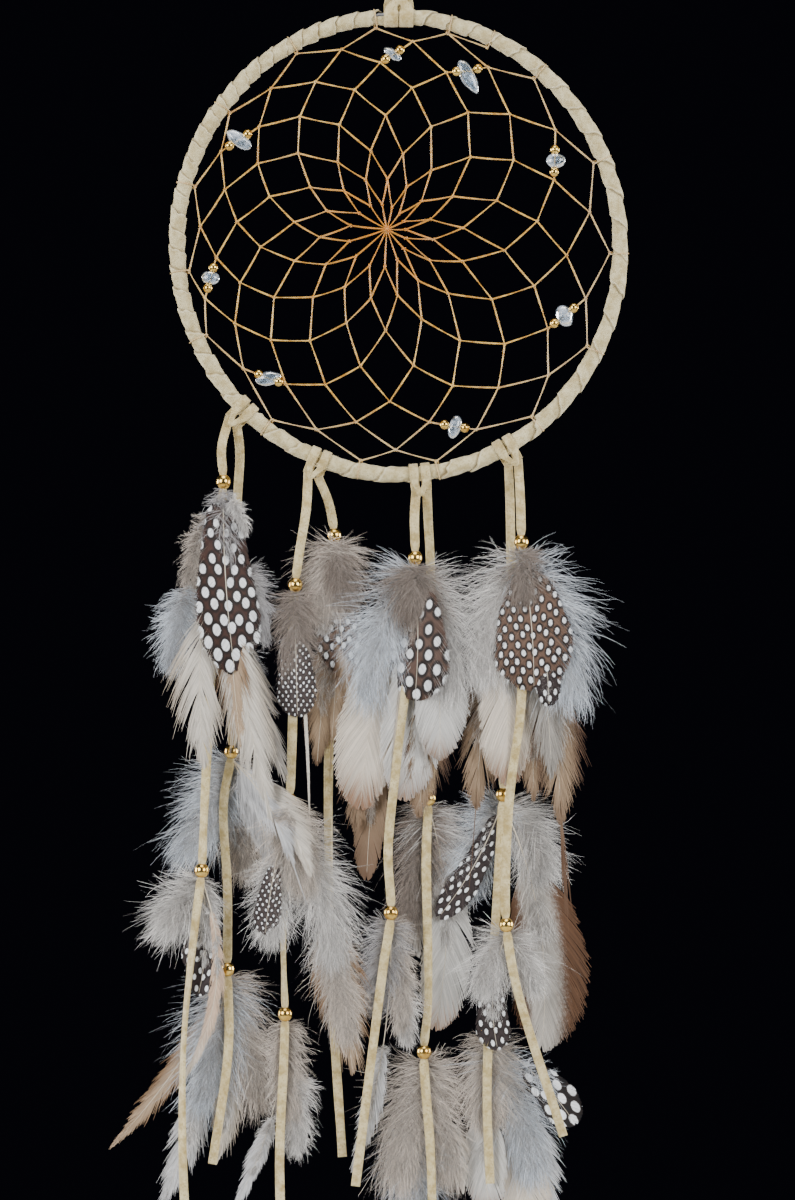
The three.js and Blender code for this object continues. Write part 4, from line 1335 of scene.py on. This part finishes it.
def make_feather(bunch, number, feather, layer, origin, side, materials, quill, seed):
    rng = np.random.default_rng(seed)
    soup = Soup()
    spine = spine_of(feather, origin, side, layer, rng)
    length = math.hypot(feather.across, feather.drop)
    bare = feather.bare
    depth = LAYER_START + LAYER_STEP * layer + 0.2
    if feather.kind.endswith("down"):
        area = length * (1 - bare) * feather.width
        count = int(np.clip(DOWN_DENSITY * area, *DOWN_COUNTS))
        add_down(soup, spine, feather, side, rng, count, depth, (bare + 0.02, 0.86))
    else:
        add_vane(soup, spine, feather, side, rng, rng.normal(0, 0.2))
        add_quill(soup, spine)
        if not feather.kind.endswith("quill"):
            count = int(FOOT_DOWN_DENSITY * length)
            add_down(soup, spine, feather, side, rng, count, depth, (bare, bare + 0.3), 0.9)
    piece = soup.mesh_object(f"feather_{bunch}_{number}", [materials[feather.kind], quill], marked=True)
    if bunch in BEHIND and side > 0:
        return dress(piece, tail_body(bunch[:2]), "feather")
    node = f"feathers_{bunch}"
    return dress(piece, frame["nodes"][node]["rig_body"], "feather", node)


def make_bunch(bunch, materials, quill):
    place, along = at_height(bunch[:2], BEADS[bunch])
    origin = place + along * (BEAD_LENGTH / 2 + 0.3)
    behind = BEHIND.get(bunch, len(BUNCHES[bunch]))
    first_seed = 100 * (1 + sorted(BUNCHES).index(bunch))
    pieces = []
    for i, row in enumerate(BUNCHES[bunch]):
        side = 1 if i < behind else -1
        layer = behind - 1 - i if i < behind else i - behind
        feather = Feather(*row)
        seed = first_seed + i
        pieces.append(make_feather(bunch, i + 1, feather, layer, origin, side, materials, quill, seed))
    return pieces


# -------- the whole


def floor_plane():
    soup = Soup()
    rim = np.column_stack([ring_section(FLOOR_R, FLOOR_SIDES), np.full(FLOOR_SIDES, FLOOR_Z)])
    soup.add(rim, [range(FLOOR_SIDES)])
    t = Tree("floor")
    cloud = t.noise(t.place(), 6, 3)
    t.set(Base_Color=t.mix(cloud, rgb(206, 205, 202), rgb(214, 213, 210)), Roughness=0.8)
    soup.mesh_object("floor", [t.material])


def main():
    make_camera()
    lace_suede = suede("lace_suede", rgb(230, 214, 166), rgb(182, 158, 104))
    rng = np.random.default_rng(7)
    laces = {name: make_lace(name, lace_suede, rng) for name in HANGS}
    loop, loop_path = make_loop(lace_suede, rng)
    knot = make_loop_knot(lace_suede, rng)

    floor_plane()
    make_light()
    for name, degrees in HITCH_ANGLES.items():
        make_hitch(f"hitch_lace_{name}", degrees, "hoop", f"hitch_{name}", lace_suede, rng)
    make_hitch("hanger_hitch_lace", HANGER_ANGLE, "hanger", "hanger_hitch", lace_suede, rng,
               width=4.8, offset=2.5, bight=5.4)
    make_wrap(suede("wrap_suede", rgb(230, 218, 174), rgb(188, 170, 122), seams=True), rng)
    make_web(sinew_material(), rng)
    brass = brass_material()
    quartz = quartz_material()
    for number, charm in enumerate(CHARMS, 1):
        make_charm(number, charm, quartz, brass, rng)
    beads = {bunch: make_bead(bunch, brass) for bunch in BEADS}
    materials = feather_materials()
    quill = quill_material()
    bunches = {bunch: make_bunch(bunch, materials, quill) for bunch in BUNCHES}
    frame["nodes"]["hoop_ring"].data.materials.clear()
    frame["nodes"]["hoop_ring"].data.materials.append(wire_material())

    for name, lace in laces.items():
        on_it = [beads[b] for b in BEADS if b.startswith(name)]
        on_it += [piece for b in BUNCHES if b.startswith(name) for piece in bunches[b]]


main()
